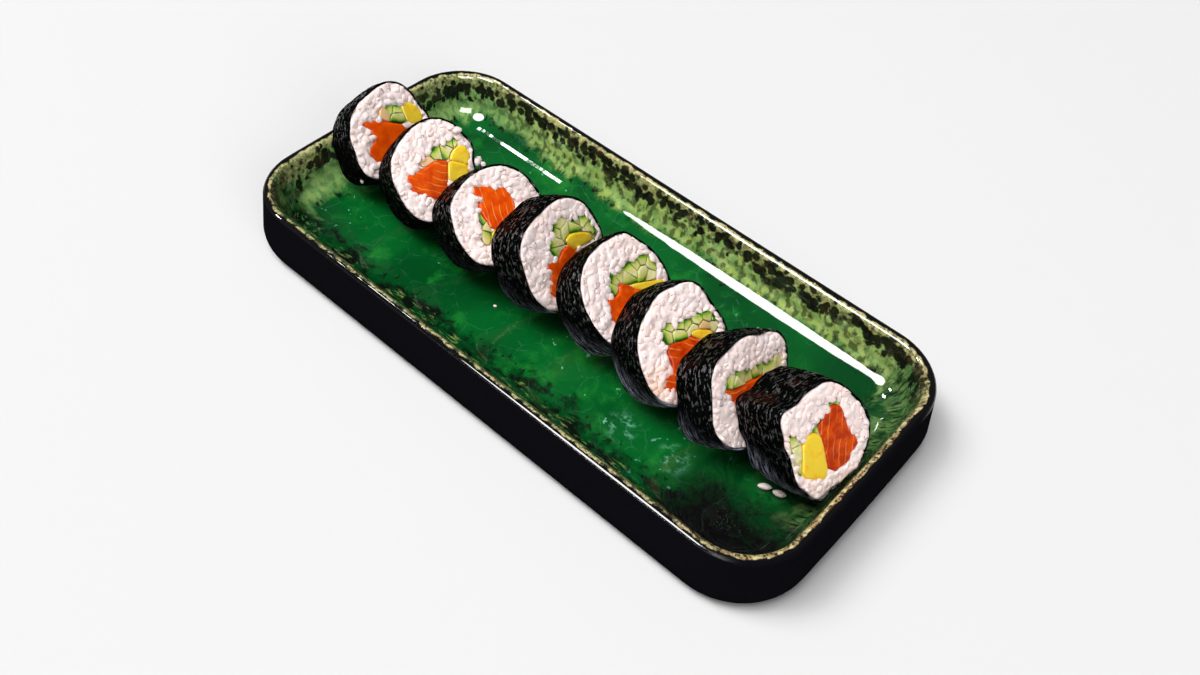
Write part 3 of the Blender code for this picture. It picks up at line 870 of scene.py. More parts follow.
def grain_tree(rice, material):
    """Geometry nodes that pack grains of rice over the patches they are given."""
    tree = bpy.data.node_groups.new("Packed grains", "GeometryNodeTree")
    inputs = {"Geometry": "Geometry", "Length": "Float", "Width": "Float", "Height": "Float",
              "Spacing": "Float", "Unevenness": "Float", "Seed": "Int", "Material": "Material"}
    for name, kind in inputs.items():
        tree.interface.new_socket(name, in_out="INPUT", socket_type="NodeSocket" + kind)
    tree.interface.new_socket("Geometry", in_out="OUTPUT", socket_type="NodeSocketGeometry")
    wire = Wiring(tree)
    given = wire.add("NodeGroupInput").outputs
    spread = wire.add("GeometryNodeDistributePointsOnFaces",
                      {"Mesh": given["Geometry"], "Distance Min": given["Spacing"],
                       "Density Max": 3.0e6, "Seed": given["Seed"]},
                      distribute_method="POISSON")
    ball = wire.add("GeometryNodeMeshIcoSphere", {"Radius": 0.5, "Subdivisions": 2})
    size = wire.add("ShaderNodeCombineXYZ",
                    {"X": given["Length"], "Y": given["Width"], "Z": given["Height"]})
    grain = wire.add("GeometryNodeTransform", {"Geometry": ball, "Scale": size})
    growth = wire.add("FunctionNodeRandomValue",
                      {0: (0.60, 0.68, 0.75), 1: (1.20, 1.25, 1.20), "Seed": given["Seed"]},
                      data_type="FLOAT_VECTOR")
    placed = wire.add("GeometryNodeInstanceOnPoints",
                      {"Points": spread, "Instance": grain,
                       "Rotation": spread.outputs["Rotation"], "Scale": growth})
    swing = wire.add("FunctionNodeRandomValue",
                     {0: (-0.20, -0.22, 0.0), 1: (0.20, 0.22, math.tau), "Seed": 11},
                     data_type="FLOAT_VECTOR")
    spin = wire.add("FunctionNodeEulerToRotation", {0: swing})
    turned = wire.add("GeometryNodeRotateInstances", {"Instances": placed, "Rotation": spin})
    tone = wire.add("FunctionNodeRandomValue", {"Seed": 23}, data_type="FLOAT")
    named = wire.add("GeometryNodeStoreNamedAttribute",
                     {"Geometry": turned, "Name": "tone", "Value": tone.outputs[1]},
                     data_type="FLOAT", domain="INSTANCE")
    real = wire.add("GeometryNodeRealizeInstances", {"Geometry": named})
    uneven = wire.add("GeometryNodeSetPosition",
                      {"Geometry": real, "Offset": wire.push(420.0, given["Unevenness"])})
    smooth = wire.add("GeometryNodeSetShadeSmooth", {"Geometry": uneven})
    coated = wire.add("GeometryNodeSetMaterial",
                      {"Geometry": smooth, "Material": given["Material"]})
    wire.add("NodeGroupOutput", {"Geometry": coated})
    values = {"Length": rice.grain_length, "Width": rice.grain_width,
              "Height": rice.grain_height, "Spacing": rice.spacing,
              "Unevenness": rice.unevenness * 2, "Seed": rice.seed, "Material": material}
    return tree, values


def set_inputs(modifier, values):
    for socket in modifier.node_group.interface.items_tree:
        if socket.in_out == "INPUT" and socket.name in values:
            modifier[socket.identifier] = values[socket.name]


def cut_height(rice, cut, flat, depth):
    """How far the rice stands out of the plane of the cut at points of it."""
    angle, radius = polar(flat)
    rim = cut.radius(angle, depth) - radius
    near_rim = np.clip(1 - rim / (3.0 * MM), 0, 1) ** 2
    seeds = raise_to(flat / MM, 40.0 * cut.number + depth / MM)
    rise = lumps(seeds, 0.22) * rice.lump + lumps(seeds, 0.5) * rice.lump * 0.35
    return rise - near_rim * rice.edge_drop


def rice_patch(rice, cut, depth, loops):
    """The part of one cut face that is rice, as a lumpy patch that carries the grains."""
    steps = int(2 * PATCH_REACH / rice.cell)
    axis = (np.arange(steps + 1) - steps / 2) * rice.cell
    across, rise = np.meshgrid(axis, axis)
    corners = np.stack([across.ravel(), rise.ravel()], 1)
    middle = corners.reshape(steps + 1, steps + 1, 2)[:-1, :-1].reshape(-1, 2) + rice.cell / 2
    angle, radius = polar(middle)
    keep = radius < cut.radius(angle, depth) - RIM_MARGIN
    for loop in loops:
        keep &= inside_distance(middle, loop) < -FILLING_MARGIN
    height = cut_height(rice, cut, corners, depth)
    outwards = 1 if depth == 0 else -1
    under = 0.14 * rice.grain_height
    local = raise_to(corners, -depth + outwards * (height - under))
    faces = []
    for cell in np.flatnonzero(keep):
        row, column = divmod(cell, steps)
        a = row * (steps + 1) + column
        square = (a, a + 1, a + steps + 2, a + steps + 1)
        faces.append(square if outwards > 0 else square[::-1])
    return local, faces


def rice_core(rice, cut, loops):
    """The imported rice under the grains: a barrel just inside the nori, sunk at the fillings."""
    angles, circle = around(CORE_AROUND)
    shares = np.linspace(0.03, 1.0, 24)
    rings = []
    for depth, outwards, order in ((0.0, 1, shares), (cut.thickness, -1, shares[::-1])):
        for share in order:
            edge = cut.radius(angles, depth) - CORE_INSET
            flat = circle * (edge * share)[:, None]
            height = cut_height(rice, cut, flat, depth) - rice.core_depth
            seeds = raise_to(flat / MM, 17.0 * cut.number + depth / MM)
            height += np.clip(lumps(seeds, 0.30) + 0.25, 0, 1) * rice.smear
            within = np.max([inside_distance(flat, loop) for loop in loops], axis=0)
            height -= np.clip((within + 0.5 * MM) / (0.8 * MM), 0, 1) * rice.filling_bed
            rings.append(raise_to(flat, -depth + outwards * height))
        if outwards > 0:
            for share in (0.1, 0.5, 0.9):
                level = share * cut.thickness
                edge = cut.radius(angles, level) - CORE_INSET
                rings.append(raise_to(circle * edge[:, None], -level))
    return skinned("rice_core", rings, cut.to_world)


def press_inside(cut, mesh, margin):
    """Push back whatever would stick out through the nori."""
    local = cut.to_local(points_of(mesh))
    angle, radius = polar(local)
    depth = np.clip(-local[:, 2], 0, cut.thickness)
    limit = cut.radius(angle, depth) - margin
    local[:, :2] *= np.minimum(1.0, limit / np.maximum(radius, 1e-9))[:, None]
    move_points(mesh, cut.to_world(local))


def rice_finish(rice):
    """Moist boiled rice: white with faint pink, glassy grains, a few specks and painted shade in thin
    crevices.
    """
    grain = Finish("boiled rice")
    mix = grain.mix
    remap = grain.remap
    noise = grain.noise
    place = grain.position
    tone = grain.attribute("tone", "Fac")
    base = mix(remap(tone, 0.60, 1.0), rice.white, rice.warm)
    glassy = remap(tone, 0.30, 0.0) * remap(noise(place, 110.0, 2.0), 0.44, 0.60)
    base = mix(glassy, base, rice.cool)
    base = mix(remap(noise(place, 75.0, 2.0), 0.50, 0.66, 0.0, 0.45), base, rice.blush)
    stain = remap(grain.away(STAIN_PLACE), 0.0100, 0.0030, 0.0, 0.75)
    base = mix(stain, base, rice.stain)
    speck = remap(grain.cells(place, 430.0), 0.14, 0.08)
    speck = speck * remap(noise(place, 240.0, 1.0), 0.56, 0.60)
    # painted shade: thin dark lines along the gaps between grains, in scattered patches
    crevice_shade = grain.cells(grain.bend(place, 300.0, 0.002), 330.0, "DISTANCE_TO_EDGE")
    crevice_shade = remap(crevice_shade, 0.042, 0.014) * remap(noise(place, 170.0, 1.0), 0.57, 0.61)
    base = mix(grain.math("MAXIMUM", speck, crevice_shade) * 0.8, base, rice.speck)
    grain.surface(Base_Color=base, Roughness=0.42, Specular_IOR_Level=0.16)
    grain.bump(noise(place, 900.0, 2.0), 0.0002, 0.35)
    return grain.material


def core_finish(rice):
    """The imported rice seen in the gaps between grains."""
    core = Finish("packed rice")
    grains = core.cells(core.bend(core.position, 300.0, 0.002), 380.0)
    base = core.mix(core.remap(grains, 0.25, 0.75), rice.white, rice.shade)
    core.surface(Base_Color=base, Roughness=0.45)
    core.bump(core.math("POWER", grains, 2.0) * -1.0, 0.0006, 0.45)
    return core.material


class MAKI_OT_rice(bpy.types.Operator):
    """Pack every slice with a core of rice and grains over both of its cuts"""
    bl_idname = "maki.rice"
    bl_label = "Pack the Rice"

    def execute(self, context):
        rice = context.scene.maki_rice
        grains_material = rice_finish(rice)
        core_material = core_finish(rice)
        tree, values = grain_tree(rice, grains_material)
        for cut in SLICES:
            loops = [cut.outline_of(node) for node in cut.fillings()]
            core = new_object("rice_core_%d" % cut.number, rice_core(rice, cut, loops))
            hand_over(core, core_material, "rice", "rice_%d" % cut.number)
            points = []
            faces = []
            for depth in (0.0, cut.thickness):
                patch, squares = rice_patch(rice, cut, depth, loops)
                start = len(points)
                points.extend(cut.to_world(patch))
                faces.extend(tuple(index + start for index in square) for square in squares)
            piece = new_object("rice_grains_%d" % cut.number,
                               mesh_from("rice_patch", points, faces))
            modifier = piece.modifiers.new("grains", "NODES")
            modifier.node_group = tree
            set_inputs(modifier, {**values, "Seed": rice.seed + cut.number})
            settle_modifiers(piece)
            press_inside(cut, piece.data, rice.sleeve_gap)
            hand_over(piece, grains_material, "rice")
        return {"FINISHED"}


# ------------------------------------------------------------------ salmon and mango
# Rounding a piece over draws it in; this puts back what it lost.
REGROWTH = 0.25 * MM


def rounded_piece(name, node, voxel, swell, seed):
    """A CAD filling with its edges rounded over and its faces made slightly uneven."""
    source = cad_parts[node].data.copy()
    bm = merged(source)
    bm.to_mesh(source)
    bm.free()
    piece = new_object(name, source)
    piece.data.materials.clear()
    remesh = piece.modifiers.new("round", "REMESH")
    remesh.mode = "VOXEL"
    remesh.voxel_size = voxel
    remesh.use_smooth_shade = True
    soften = piece.modifiers.new("soften", "SMOOTH")
    soften.factor = 0.5
    soften.iterations = 12
    settle_modifiers(piece)
    points = points_of(piece.data)
    normals = points_of(piece.data, "normal")
    rise = lumps(points / MM, 0.23, seed) * 0.7 + lumps(points / MM, 0.6, seed) * 0.3
    move_points(piece.data, points + normals * (rise * swell + REGROWTH)[:, None])
    return piece


def store_place(piece, cut, turn=0.0):
    """Keep each point's place in the slice, turned about the middle of the piece."""
    local = cut.to_local(points_of(piece.data))
    local[:, :2] -= local[:, :2].mean(axis=0)
    cosine = math.cos(turn)
    sine = math.sin(turn)
    turned = np.column_stack([local[:, 0] * cosine + local[:, 1] * sine,
                              local[:, 1] * cosine - local[:, 0] * sine, local[:, 2]])
    store_vector(piece.data, "place", turned)


# For each slice: how its salmon's fat lines lie, in degrees from upright, how strongly they show
# and how dark the flesh is.
SALMON_GRAIN = {1: (65, 0.0, 0.05), 2: (60, 0.85, 0.15), 3: (-5, 1.0, 0.0), 4: (30, 0.4, 0.2),
                5: (20, 0.3, 0.2), 6: (55, 0.9, 0.75), 7: (70, 0.9, 0.45), 8: (-20, 0.6, 0.90)}


def salmon_finish(filling):
    """Raw salmon: wet orange-red flesh with thin pale lines of fat."""
    salmon = Finish("raw salmon")
    mix = salmon.mix
    remap = salmon.remap
    place = salmon.attribute("place")
    shown, dark, _spare = salmon.parts(salmon.attribute("grain"))
    bands = salmon.add("ShaderNodeTexWave",
                       {"Vector": place, "Scale": 100.0, "Distortion": 3.0, "Detail": 2.0,
                        "Detail Scale": 1.3, "Detail Roughness": 0.5},
                       wave_type="BANDS", bands_direction="X", wave_profile="SIN")
    lines = remap(bands.outputs["Fac"], 0.93, 0.998)
    lines = lines * remap(salmon.noise(place, 110.0, 2.0), 0.38, 0.56)
    flesh = salmon.noise(place, 200.0, 4.0, 0.6)
    base = mix(remap(flesh, 0.35, 0.62), filling.salmon_deep, filling.salmon)
    base = mix(dark * remap(flesh, 0.60, 0.40, 0.45, 1.0), base, filling.salmon_dark)
    base = mix(lines * shown * 0.8, base, filling.fat)
    salmon.surface(Base_Color=base, Roughness=0.28, Specular_IOR_Level=0.16,
                   Subsurface_Weight=0.22, Subsurface_Radius=(1.0, 0.18, 0.02),
                   Subsurface_Scale=0.0018)
    salmon.bump(salmon.noise(place, (900.0, 260.0, 260.0)), 0.00025, 0.5)
    return salmon.material


def mango_finish(filling):
    """Ripe mango: wet golden flesh with faint fibres."""
    mango = Finish("ripe mango")
    place = mango.attribute("place")
    fibre = mango.noise(place, (260.0, 700.0, 200.0), 4.0, 0.6)
    cloud = mango.remap(mango.noise(place, 170.0), 0.28, 0.50)
    base = mango.mix(cloud, filling.mango_deep, filling.mango)
    base = mango.mix(mango.remap(fibre, 0.54, 0.72), base, filling.mango_pale)
    mango.surface(Base_Color=base, Roughness=0.28, Specular_IOR_Level=0.35,
                  Subsurface_Weight=0.10, Subsurface_Radius=(1.0, 0.6, 0.08),
                  Subsurface_Scale=0.0015)
    mango.bump(fibre, 0.00025, 0.4)
    return mango.material


class MAKI_OT_salmon(bpy.types.Operator):
    """Lay the salmon in every slice"""
    bl_idname = "maki.salmon"
    bl_label = "Lay the Salmon"

    def execute(self, context):
        filling = context.scene.maki_filling
        material = salmon_finish(filling)
        for cut in SLICES:
            node = "salmon_%d" % cut.number
            piece = rounded_piece("salmon_piece_%d" % cut.number, node, filling.voxel,
                                  filling.swell, cut.number)
            turn, shown, dark = SALMON_GRAIN[cut.number]
            store_place(piece, cut, math.radians(turn))
            count = len(piece.data.vertices)
            store_vector(piece.data, "grain", np.tile((shown, dark, 0.0), (count, 1)))
            hand_over(piece, material, "salmon", node)
        return {"FINISHED"}


class MAKI_OT_mango(bpy.types.Operator):
    """Lay the mango pieces"""
    bl_idname = "maki.mango"
    bl_label = "Lay the Mango"

    def execute(self, context):
        filling = context.scene.maki_filling
        material = mango_finish(filling)
        for cut in SLICES:
            for node in cut.fillings():
                if node.startswith("mango"):
                    name = node.replace("mango", "mango_piece")
                    piece = rounded_piece(name, node, filling.voxel, filling.swell,
                                          20 + cut.number)
                    store_place(piece, cut)
                    hand_over(piece, material, "mango", node)
        return {"FINISHED"}


# ------------------------------------------------------------------ cucumber
# Middle of each stick on the cut face (right, up) in mm and the way its skin looks, in degrees;
# None is a stick of flesh with no skin.
STICKS = {
    "cucumber_1": ((1.5, 9.7, None), (5.0, 10.5, 95), (8.5, 8.5, 60), (7.0, 5.0, 240)),
    "cucumber_2": ((14.0, 9.5, 80), (8.5, 7.0, 200), (3.5, 7.5, 120), (-2.0, 4.2, None),
                   (11.0, 10.0, 90)),
    "cucumber_3": ((-8.0, 1.5, 180), (-8.5, -6.0, 20), (-6.0, -2.0, None)),
    "cucumber_4": ((3.8, 13.2, 140), (9.5, 8.5, 250), (12.5, 11.5, 90), (16.6, 10.0, 60),
                   (18.6, 4.5, 10), (20.0, -1.0, 340), (-1.5, 7.7, 170), (-2.8, 3.5, 200),
                   (5.0, 9.5, 300), (1.0, 10.5, 150)),
    "cucumber_5": ((1.0, 7.4, 100), (-4.5, 4.5, 180), (8.3, 6.0, 85), (15.8, 6.5, 70),
                   (19.2, 1.6, 10), (13.0, 1.2, 260), (14.8, -1.8, None), (-1.5, 7.0, 130),
                   (4.5, 4.0, 250), (12.0, 6.5, 90)),
    "cucumber_6": ((-5.6, 6.0, 190), (-2.5, 9.8, 120), (0.0, 4.5, 260), (5.5, 7.3, 95),
                   (9.9, 7.5, 60), (15.0, 6.8, 80), (19.0, 4.5, 20), (17.5, 1.5, None),
                   (12.0, 3.0, 270), (2.0, 8.5, 110), (7.0, 4.0, None)),
    "cucumber_7": ((-8.0, 11.0, 160), (-2.0, 8.5, 90), (5.0, 5.5, 250), (12.0, 3.0, 80),
                   (19.5, 1.5, None), (-5.0, 7.0, 200), (1.5, 6.0, 100), (8.5, 5.5, 90)),
    "cucumber_8": ((-15.0, 6.5, 110), (-15.0, -1.0, None), (-14.0, -6.0, 250)),
    "cucumber_top_8": ((7.0, 11.5, 90),),
    "cucumber_mid_8": ((-2.5, 7.5, 150),),
}
# Sticks that the salmon has stained.
PEACH_STICKS = (("cucumber_1", 0), ("cucumber_2", 3), ("cucumber_6", 8))
# Points of an outline that come closer than this are dropped.
CROWDING = 0.35 * MM
# How far a stick may be sunk below the cut or stand out of it, in mm, and how steep its end is.
STICK_LOWEST = -0.55
STICK_HIGHEST = 0.45
STICK_SLOPE = 0.13
# Depth from the skin at which the flesh is palest.
FLESH_DEPTH = 6.0 * MM
# How far inside the bundle's outline and below the cuts its dark bed of painted shade stays.
BED_INSET = 0.6 * MM
BED_DEPTH = 1.4 * MM


def clip_loop(loop, point, normal):
    """The part of a closed loop on the side of a line that its normal points to."""
    side = (loop - point) @ normal
    kept = []
    count = len(loop)
    for i in range(count):
        j = (i + 1) % count
        if side[i] >= 0:
            kept.append(loop[i])
        if (side[i] >= 0) != (side[j] >= 0):
            t = side[i] / (side[i] - side[j])
            kept.append(loop[i] + t * (loop[j] - loop[i]))
    return np.array(kept)


def stick_loops(cut, node):
    """Share the bundle's outline among its sticks, each taking what lies nearest to it."""
    whole = cut.outline_of(node)
    middles = [np.array(stick[:2]) * MM for stick in STICKS[node]]
    loops = []
    for i, here in enumerate(middles):
        loop = whole
        for j, other in enumerate(middles):
            if i != j and len(loop) > 2:
                loop = clip_loop(loop, (here + other) / 2, here - other)
        loops.append(loop)
    return loops


def tidy_loop(loop, gap):
    """Drop points that crowd together and pull the loop in by half a gap."""
    kept = []
    for point in loop:
        if not kept or np.linalg.norm(point - kept[-1]) > CROWDING:
            kept.append(point)
    if np.linalg.norm(kept[0] - kept[-1]) < CROWDING:
        kept.pop()
    loop = np.array(kept)
    before = loop - np.roll(loop, 1, axis=0)
    after = np.roll(loop, -1, axis=0) - loop
    before /= np.linalg.norm(before, axis=1)[:, None]
    after /= np.linalg.norm(after, axis=1)[:, None]
    inwards = np.stack([-(before[:, 1] + after[:, 1]), before[:, 0] + after[:, 0]], 1)
    inwards /= np.linalg.norm(inwards, axis=1)[:, None] + 1e-9
    return loop + inwards * gap


def stick_mesh(filling, cut, loop, skin, peach, seed):
    """A stick that runs through the slice, with rounded edges and its skin side known."""
    loop = tidy_loop(loop, filling.stick_gap)
    chance = random.Random(seed)
    raised = chance.uniform(STICK_LOWEST, STICK_HIGHEST) * MM
    slope = np.array([chance.uniform(-STICK_SLOPE, STICK_SLOPE) for _axis in range(2)])
    middle = loop.mean(axis=0)
    away = np.linalg.norm(loop - middle, axis=1)
    rounding = 0.32 * MM
    rings = []
    borders = []
    front = ((0.7 * away.min(), 0.0), (2.2 * rounding, 0.0), (rounding, 0.04 * MM),
             (0.35 * rounding, 0.12 * MM), (0.0, rounding))
    back = ((0.0, cut.thickness - rounding), (rounding, cut.thickness))
    for inset, lower in front + back:
        ring = loop + (middle - loop) * (inset / away)[:, None]
        cut_end = raised + (ring - middle) @ slope if len(rings) < len(front) else 0.0
        rings.append(raise_to(ring, cut_end - lower))
        borders.append(np.full(len(ring), inset))
    points = np.concatenate(rings)
    if skin is None:
        from_skin = np.full(len(points), FLESH_DEPTH)
    else:
        way = np.array([math.cos(math.radians(skin)), math.sin(math.radians(skin))])
        reach = points[:, :2] @ way
        from_skin = reach.max() - reach
    tint = np.full(len(points), float(peach))
    marks = np.column_stack([from_skin, np.concatenate(borders), tint])
    mesh = skinned("stick", rings, cut.to_world, place=marks)
    mesh.set_sharp_from_angle(angle=math.radians(40))
    return mesh


def gap_shade_bed(cut, node):
    """A dark green bed, painted shade that shows in the gaps between the sticks."""
    loop = tidy_loop(cut.outline_of(node), BED_INSET)
    rings = [raise_to(loop, -BED_DEPTH), raise_to(loop, BED_DEPTH - cut.thickness)]
    skin_green_shade = np.tile((0.0, 0.01, 0.0), (2 * len(loop), 1))
    return skinned("bed", rings, cut.to_world, place=skin_green_shade)


def cucumber_finish(filling):
    """Cucumber: dark skin, a bright green rim under it and pale watery flesh."""
    stick = Finish("cucumber flesh")
    mix = stick.mix
    remap = stick.remap
    noise = stick.noise
    place = stick.position
    from_skin, border, peach = stick.parts(stick.attribute("place"))
    uneven = (noise(place, 420.0) - 0.5) * 0.0014
    depth = stick.math("DIVIDE", from_skin + uneven, FLESH_DEPTH, clamp=True)
    base = stick.ramp(depth, ((0.0, filling.skin), (0.07, filling.skin),
                              (0.15, filling.under_skin_and_gap_shade), (0.36, filling.cucumber),
                              (0.75, filling.cucumber_pale)))
    streaks = remap(noise(place, 330.0, 4.0, 0.6), 0.50, 0.68)
    base = mix(streaks * 0.25, base, filling.under_skin_and_gap_shade)
    # painted shade: each stick darkens towards the under-skin green along its outline, next to the
    # gaps
    base = mix(remap(border, 0.0004, 0.0, 0.0, 0.35), base, filling.under_skin_and_gap_shade)
    base = mix(peach * 0.8, base, filling.peach)
    stick.surface(Base_Color=base, Roughness=0.27, Specular_IOR_Level=0.4,
                  Subsurface_Weight=0.35, Subsurface_Radius=(0.8, 1.0, 0.30),
                  Subsurface_Scale=0.0012)
    stick.bump(noise(place, 600.0), 0.00035, 0.6)
    return stick.material


class MAKI_OT_cucumber(bpy.types.Operator):
    """Lay the cucumber sticks"""
    bl_idname = "maki.cucumber"
    bl_label = "Lay the Cucumber"

    def execute(self, context):
        filling = context.scene.maki_filling
        material = cucumber_finish(filling)
        for cut in SLICES:
            for node in cut.fillings():
                if not node.startswith("cucumber"):
                    continue
                meshes = []
                for i, loop in enumerate(stick_loops(cut, node)):
                    if len(loop) > 2:
                        skin = STICKS[node][i][2]
                        peach = (node, i) in PEACH_STICKS
                        meshes.append(stick_mesh(filling, cut, loop, skin, peach,
                                                 20 * cut.number + i))
                meshes.append(gap_shade_bed(cut, node))
                piece = join_meshes(node.replace("cucumber", "cucumber_sticks"), meshes)
                hand_over(piece, material, "cucumber", node)
        return {"FINISHED"}


# ------------------------------------------------------------------ loose grains
def shaped_ball(name, subdivisions, reshape, place, heading, size):
    """A ball whose points are moved, stretched to its size, turned and put in its place."""
    bm = bmesh.new()
    bmesh.ops.create_icosphere(bm, subdivisions=subdivisions, radius=0.5)
    for vert in bm.verts:
        vert.co = reshape(vert.co)
    matrix = Matrix.Translation(Vector(place)) @ Matrix.Rotation(heading, 4, "Z")
    bmesh.ops.transform(bm, matrix=matrix @ Matrix.Diagonal((*size, 1.0)), verts=bm.verts)
    mesh = bpy.data.meshes.new(name)
    bm.to_mesh(mesh)
    bm.free()
    mesh.shade_smooth()
    return mesh


def loose_grain(name, node, seed):
    """A whole grain that fills its node's box: long, a little bent and dented."""
    points = points_of(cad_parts[node].data)
    middle = (points.min(axis=0) + points.max(axis=0)) / 2
    flat = points[:, :2] - middle[:2]
    longest = flat[np.argmax(np.hypot(flat[:, 0], flat[:, 1]))]
    heading = math.atan2(longest[1], longest[0])
    height = np.ptp(points[:, 2])

    def reshape(point):
        x, y, z = point
        dent = 0.05 * noise.noise(point * 3.0 + Vector((seed, 0, 0)))
        girth = 1 - 0.9 * x * x + dent
        return Vector((x, y * girth + 0.22 * (x * x - 0.12), z * girth))

    size = (2 * np.hypot(*longest), height * 1.15, height)
    return new_object(name, shaped_ball(name, 4, reshape, middle, heading, size))


def crumb(place, size, heading, seed):
    """A mesh of one uneven crumb or clinging grain, as wide, deep and high as its size says."""
    def reshape(point):
        return point * (1 + 0.30 * noise.noise(point * 2.6 + Vector((seed, 2 * seed, 0))))

    return shaped_ball("crumb", 3, reshape, place, heading, size)


# Rice that clings to a slice: slice, place in it (right, up, depth) and size, all in mm.
CLINGING_RICE = (
    (1, (-20.9, -13.3, 7.0), (1.5, 1.4, 2.4)),
    (2, (15.6, 13.6, -0.9), (4.6, 3.4, 3.0)),
    (2, (13.4, 15.6, -0.6), (3.4, 3.0, 2.4)),
    (2, (20.6, -2.0, 0.8), (4.2, 3.4, 3.0)),
    (2, (22.6, -3.6, 1.4), (3.8, 3.0, 2.8)),
    (2, (22.0, -0.8, 2.2), (3.0, 2.6, 2.4)),
)
# The crumb on the tray's floor: where it lies and its size, in mm.
CRUMB_PLACE = (-28.4, -25.3)
CRUMB_SIZE = (1.7, 1.2, 1.0)


class MAKI_OT_crumbs(bpy.types.Operator):
    """Stick stray rice to the slices and drop a crumb on the tray"""
    bl_idname = "maki.crumbs"
    bl_label = "Scatter the Crumbs"

    def execute(self, context):
        tray = context.scene.maki_tray
        material = bpy.data.materials["boiled rice"]
        meshes = []
        for seed, (number, place, size) in enumerate(CLINGING_RICE):
            cut = SLICES[number - 1]
            local = np.array((place[0], place[1], -place[2])) * MM
            meshes.append(crumb(cut.to_world(local), Vector(size) * MM, 0.8 * seed, seed))
        hand_over(join_meshes("clinging_rice", meshes), material, "rice")
        place = Vector(CRUMB_PLACE).to_3d() * MM
        place.z = tray.floor_height + 0.4 * CRUMB_SIZE[2] * MM
        fallen = crumb(place, Vector(CRUMB_SIZE) * MM, 0.5, 9)
        hand_over(new_object("fallen_crumb", fallen), material, "rice")
        return {"FINISHED"}


class MAKI_OT_loose(bpy.types.Operator):
    """Lay the loose grains beside the last slice"""
    bl_idname = "maki.loose"
    bl_label = "Drop the Loose Grains"

    def execute(self, context):
        material = bpy.data.materials["boiled rice"]
        for seed, node in enumerate(LOOSE_GRAINS, start=1):
            piece = loose_grain("loose_grain_%d" % seed, node, seed)
            hand_over(piece, material, "rice", node)
        return {"FINISHED"}


# ------------------------------------------------------------------ stage
# Big softboxes that light the scene and aren't mirrored in it: place and side, in metres.
LIT_BY = {"key": ((-4.50, -2.25, 7.50), 3.6), "top": ((-1.30, -1.90, 8.50), 5.4),
          "side": ((7.40, -2.60, 4.00), 4.5)}
# Narrow panels that only show mirrored in the far wall: place along X and width.
PANELS = ((-1.105, 0.050), (-1.001, 0.085), (-0.916, 0.042))


def add_softbox(name, place, width, height, power, tilt=None):
    """An area light that faces the tray, or is only tilted about X by some degrees."""
    light = bpy.data.lights.new(name, "AREA")
    light.shape = "RECTANGLE"
    light.size = width
    light.size_y = height
    light.energy = power
    lamp = new_object(name, light)
    lamp.location = place
    if tilt is None:
        lamp.rotation_euler = (-Vector(place)).to_track_quat("-Z", "Y").to_euler()
    else:
        lamp.rotation_euler = (math.radians(tilt), 0.0, 0.0)
    return lamp


def camera_matrix(stage):
    turn = stage.azimuth
    rise = stage.elevation
    roll = stage.roll
    back = Vector((math.cos(rise) * math.sin(turn), -math.cos(rise) * math.cos(turn),
                   math.sin(rise)))
    level = Vector((math.cos(turn), math.sin(turn), 0.0))
    above = back.cross(level)
    right = level * math.cos(roll) + above * math.sin(roll)
    up = above * math.cos(roll) - level * math.sin(roll)
    place = Vector((stage.target_x, stage.target_y, 0.0)) + back * stage.distance
    matrix = Matrix((right, up, back)).transposed().to_4x4()
    matrix.translation = place
    return matrix


def floor_finish(stage):
    """A pale table with the faintest grain."""
    table = Finish("pale table")
    grain = table.noise(table.position, 900.0, 2.0)
    darker = tuple(0.99 * value for value in stage.floor_colour)
    table.surface(Base_Color=table.mix(grain, stage.floor_colour, darker), Roughness=0.9,
                  Specular_IOR_Level=0.1)
    return table.material


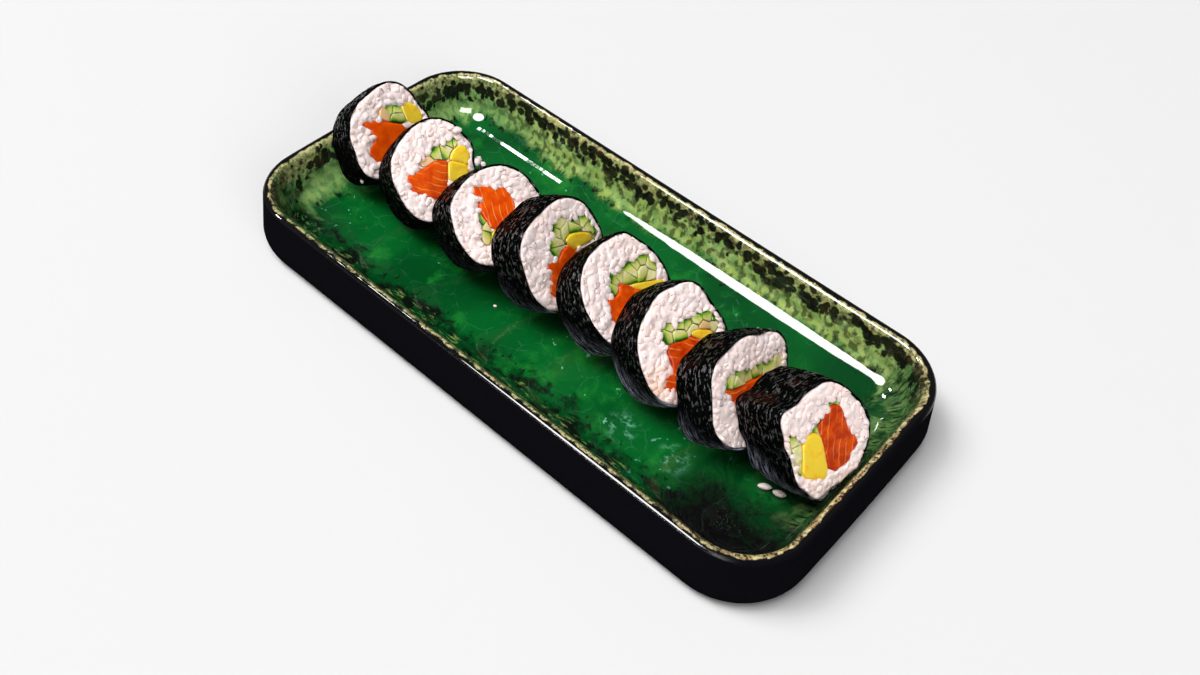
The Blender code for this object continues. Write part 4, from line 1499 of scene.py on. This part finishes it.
class MAKI_OT_stage(bpy.types.Operator):
    """Set the pale floor, the soft lights and the camera"""
    bl_idname = "maki.stage"
    bl_label = "Set the Stage"

    def execute(self, context):
        stage = context.scene.maki_stage
        scene = context.scene
        half = stage.floor_size / 2
        corners = [(-half, -half, 0), (half, -half, 0), (half, half, 0), (-half, half, 0)]
        floor = new_object("floor", mesh_from("floor", corners, [(0, 1, 2, 3)]))
        floor.data.materials.append(floor_finish(stage))

        world = bpy.data.worlds.new("soft sky")
        world.use_nodes = True
        sky = world.node_tree.nodes["Background"]
        sky.inputs["Color"].default_value = (1.0, 1.0, 1.0, 1.0)
        sky.inputs["Strength"].default_value = stage.sky
        scene.world = world
        scene.view_settings.view_transform = "Standard"

        for name, (place, side) in LIT_BY.items():
            lamp = add_softbox(name, place, side, side, getattr(stage, name + "_power"))
            lamp.visible_glossy = False
        shiny = [add_softbox("strip", (-0.38, -0.70, 1.13), 0.58, 0.74, stage.strip_power, 32.0)]
        shiny[0].data.shape = "ELLIPSE"
        for i, (across, width) in enumerate(PANELS):
            shiny.append(add_softbox("panel_%d" % i, (across, 0.0, 1.50), width, 0.20,
                                     stage.panel_power * width, 0.0))
        shiny.append(add_softbox("window", (0.94, -1.43, 1.22), 0.90, 1.90, stage.window_power))
        shiny.append(add_softbox("glint", (-1.43, -0.69, 1.37), 0.16, 0.16, stage.glint_power))
        for lamp in shiny:
            lamp.visible_diffuse = False

        camera = bpy.data.cameras.new("camera")
        camera.sensor_width = 36.0
        camera.lens = stage.lens
        camera.clip_start = 0.01
        view = new_object("camera", camera)
        view.matrix_world = camera_matrix(stage)
        scene.camera = view
        return {"FINISHED"}


class MAKI_PT_panel(bpy.types.Panel):
    """Lists the steps in the sidebar"""
    bl_label = "Maki Slices"
    bl_idname = "MAKI_PT_panel"
    bl_space_type = "VIEW_3D"
    bl_region_type = "UI"
    bl_category = "Maki"

    def draw(self, context):
        for step in STEPS:
            self.layout.operator(step.bl_idname)


STEPS = (MAKI_OT_tray, MAKI_OT_nori, MAKI_OT_rice, MAKI_OT_salmon, MAKI_OT_mango,
         MAKI_OT_cucumber, MAKI_OT_loose, MAKI_OT_crumbs, MAKI_OT_stage)
SETTINGS = {"maki_tray": TraySettings, "maki_nori": NoriSettings, "maki_rice": RiceSettings,
            "maki_filling": FillingSettings, "maki_stage": StageSettings}


def register():
    for group in SETTINGS.values():
        bpy.utils.register_class(group)
    for step in STEPS:
        bpy.utils.register_class(step)
    bpy.utils.register_class(MAKI_PT_panel)
    for name, group in SETTINGS.items():
        setattr(bpy.types.Scene, name, PointerProperty(type=group))


def unregister():
    for name in SETTINGS:
        delattr(bpy.types.Scene, name)
    bpy.utils.unregister_class(MAKI_PT_panel)
    for step in reversed(STEPS):
        bpy.utils.unregister_class(step)
    for group in reversed(SETTINGS.values()):
        bpy.utils.unregister_class(group)


def main():
    register()
    bpy.ops.maki.tray()
    bpy.ops.maki.nori()
    bpy.ops.maki.rice()
    bpy.ops.maki.salmon()
    bpy.ops.maki.mango()
    bpy.ops.maki.cucumber()
    bpy.ops.maki.loose()
    bpy.ops.maki.crumbs()
    bpy.ops.maki.stage()


if __name__ == "__main__":
    main()
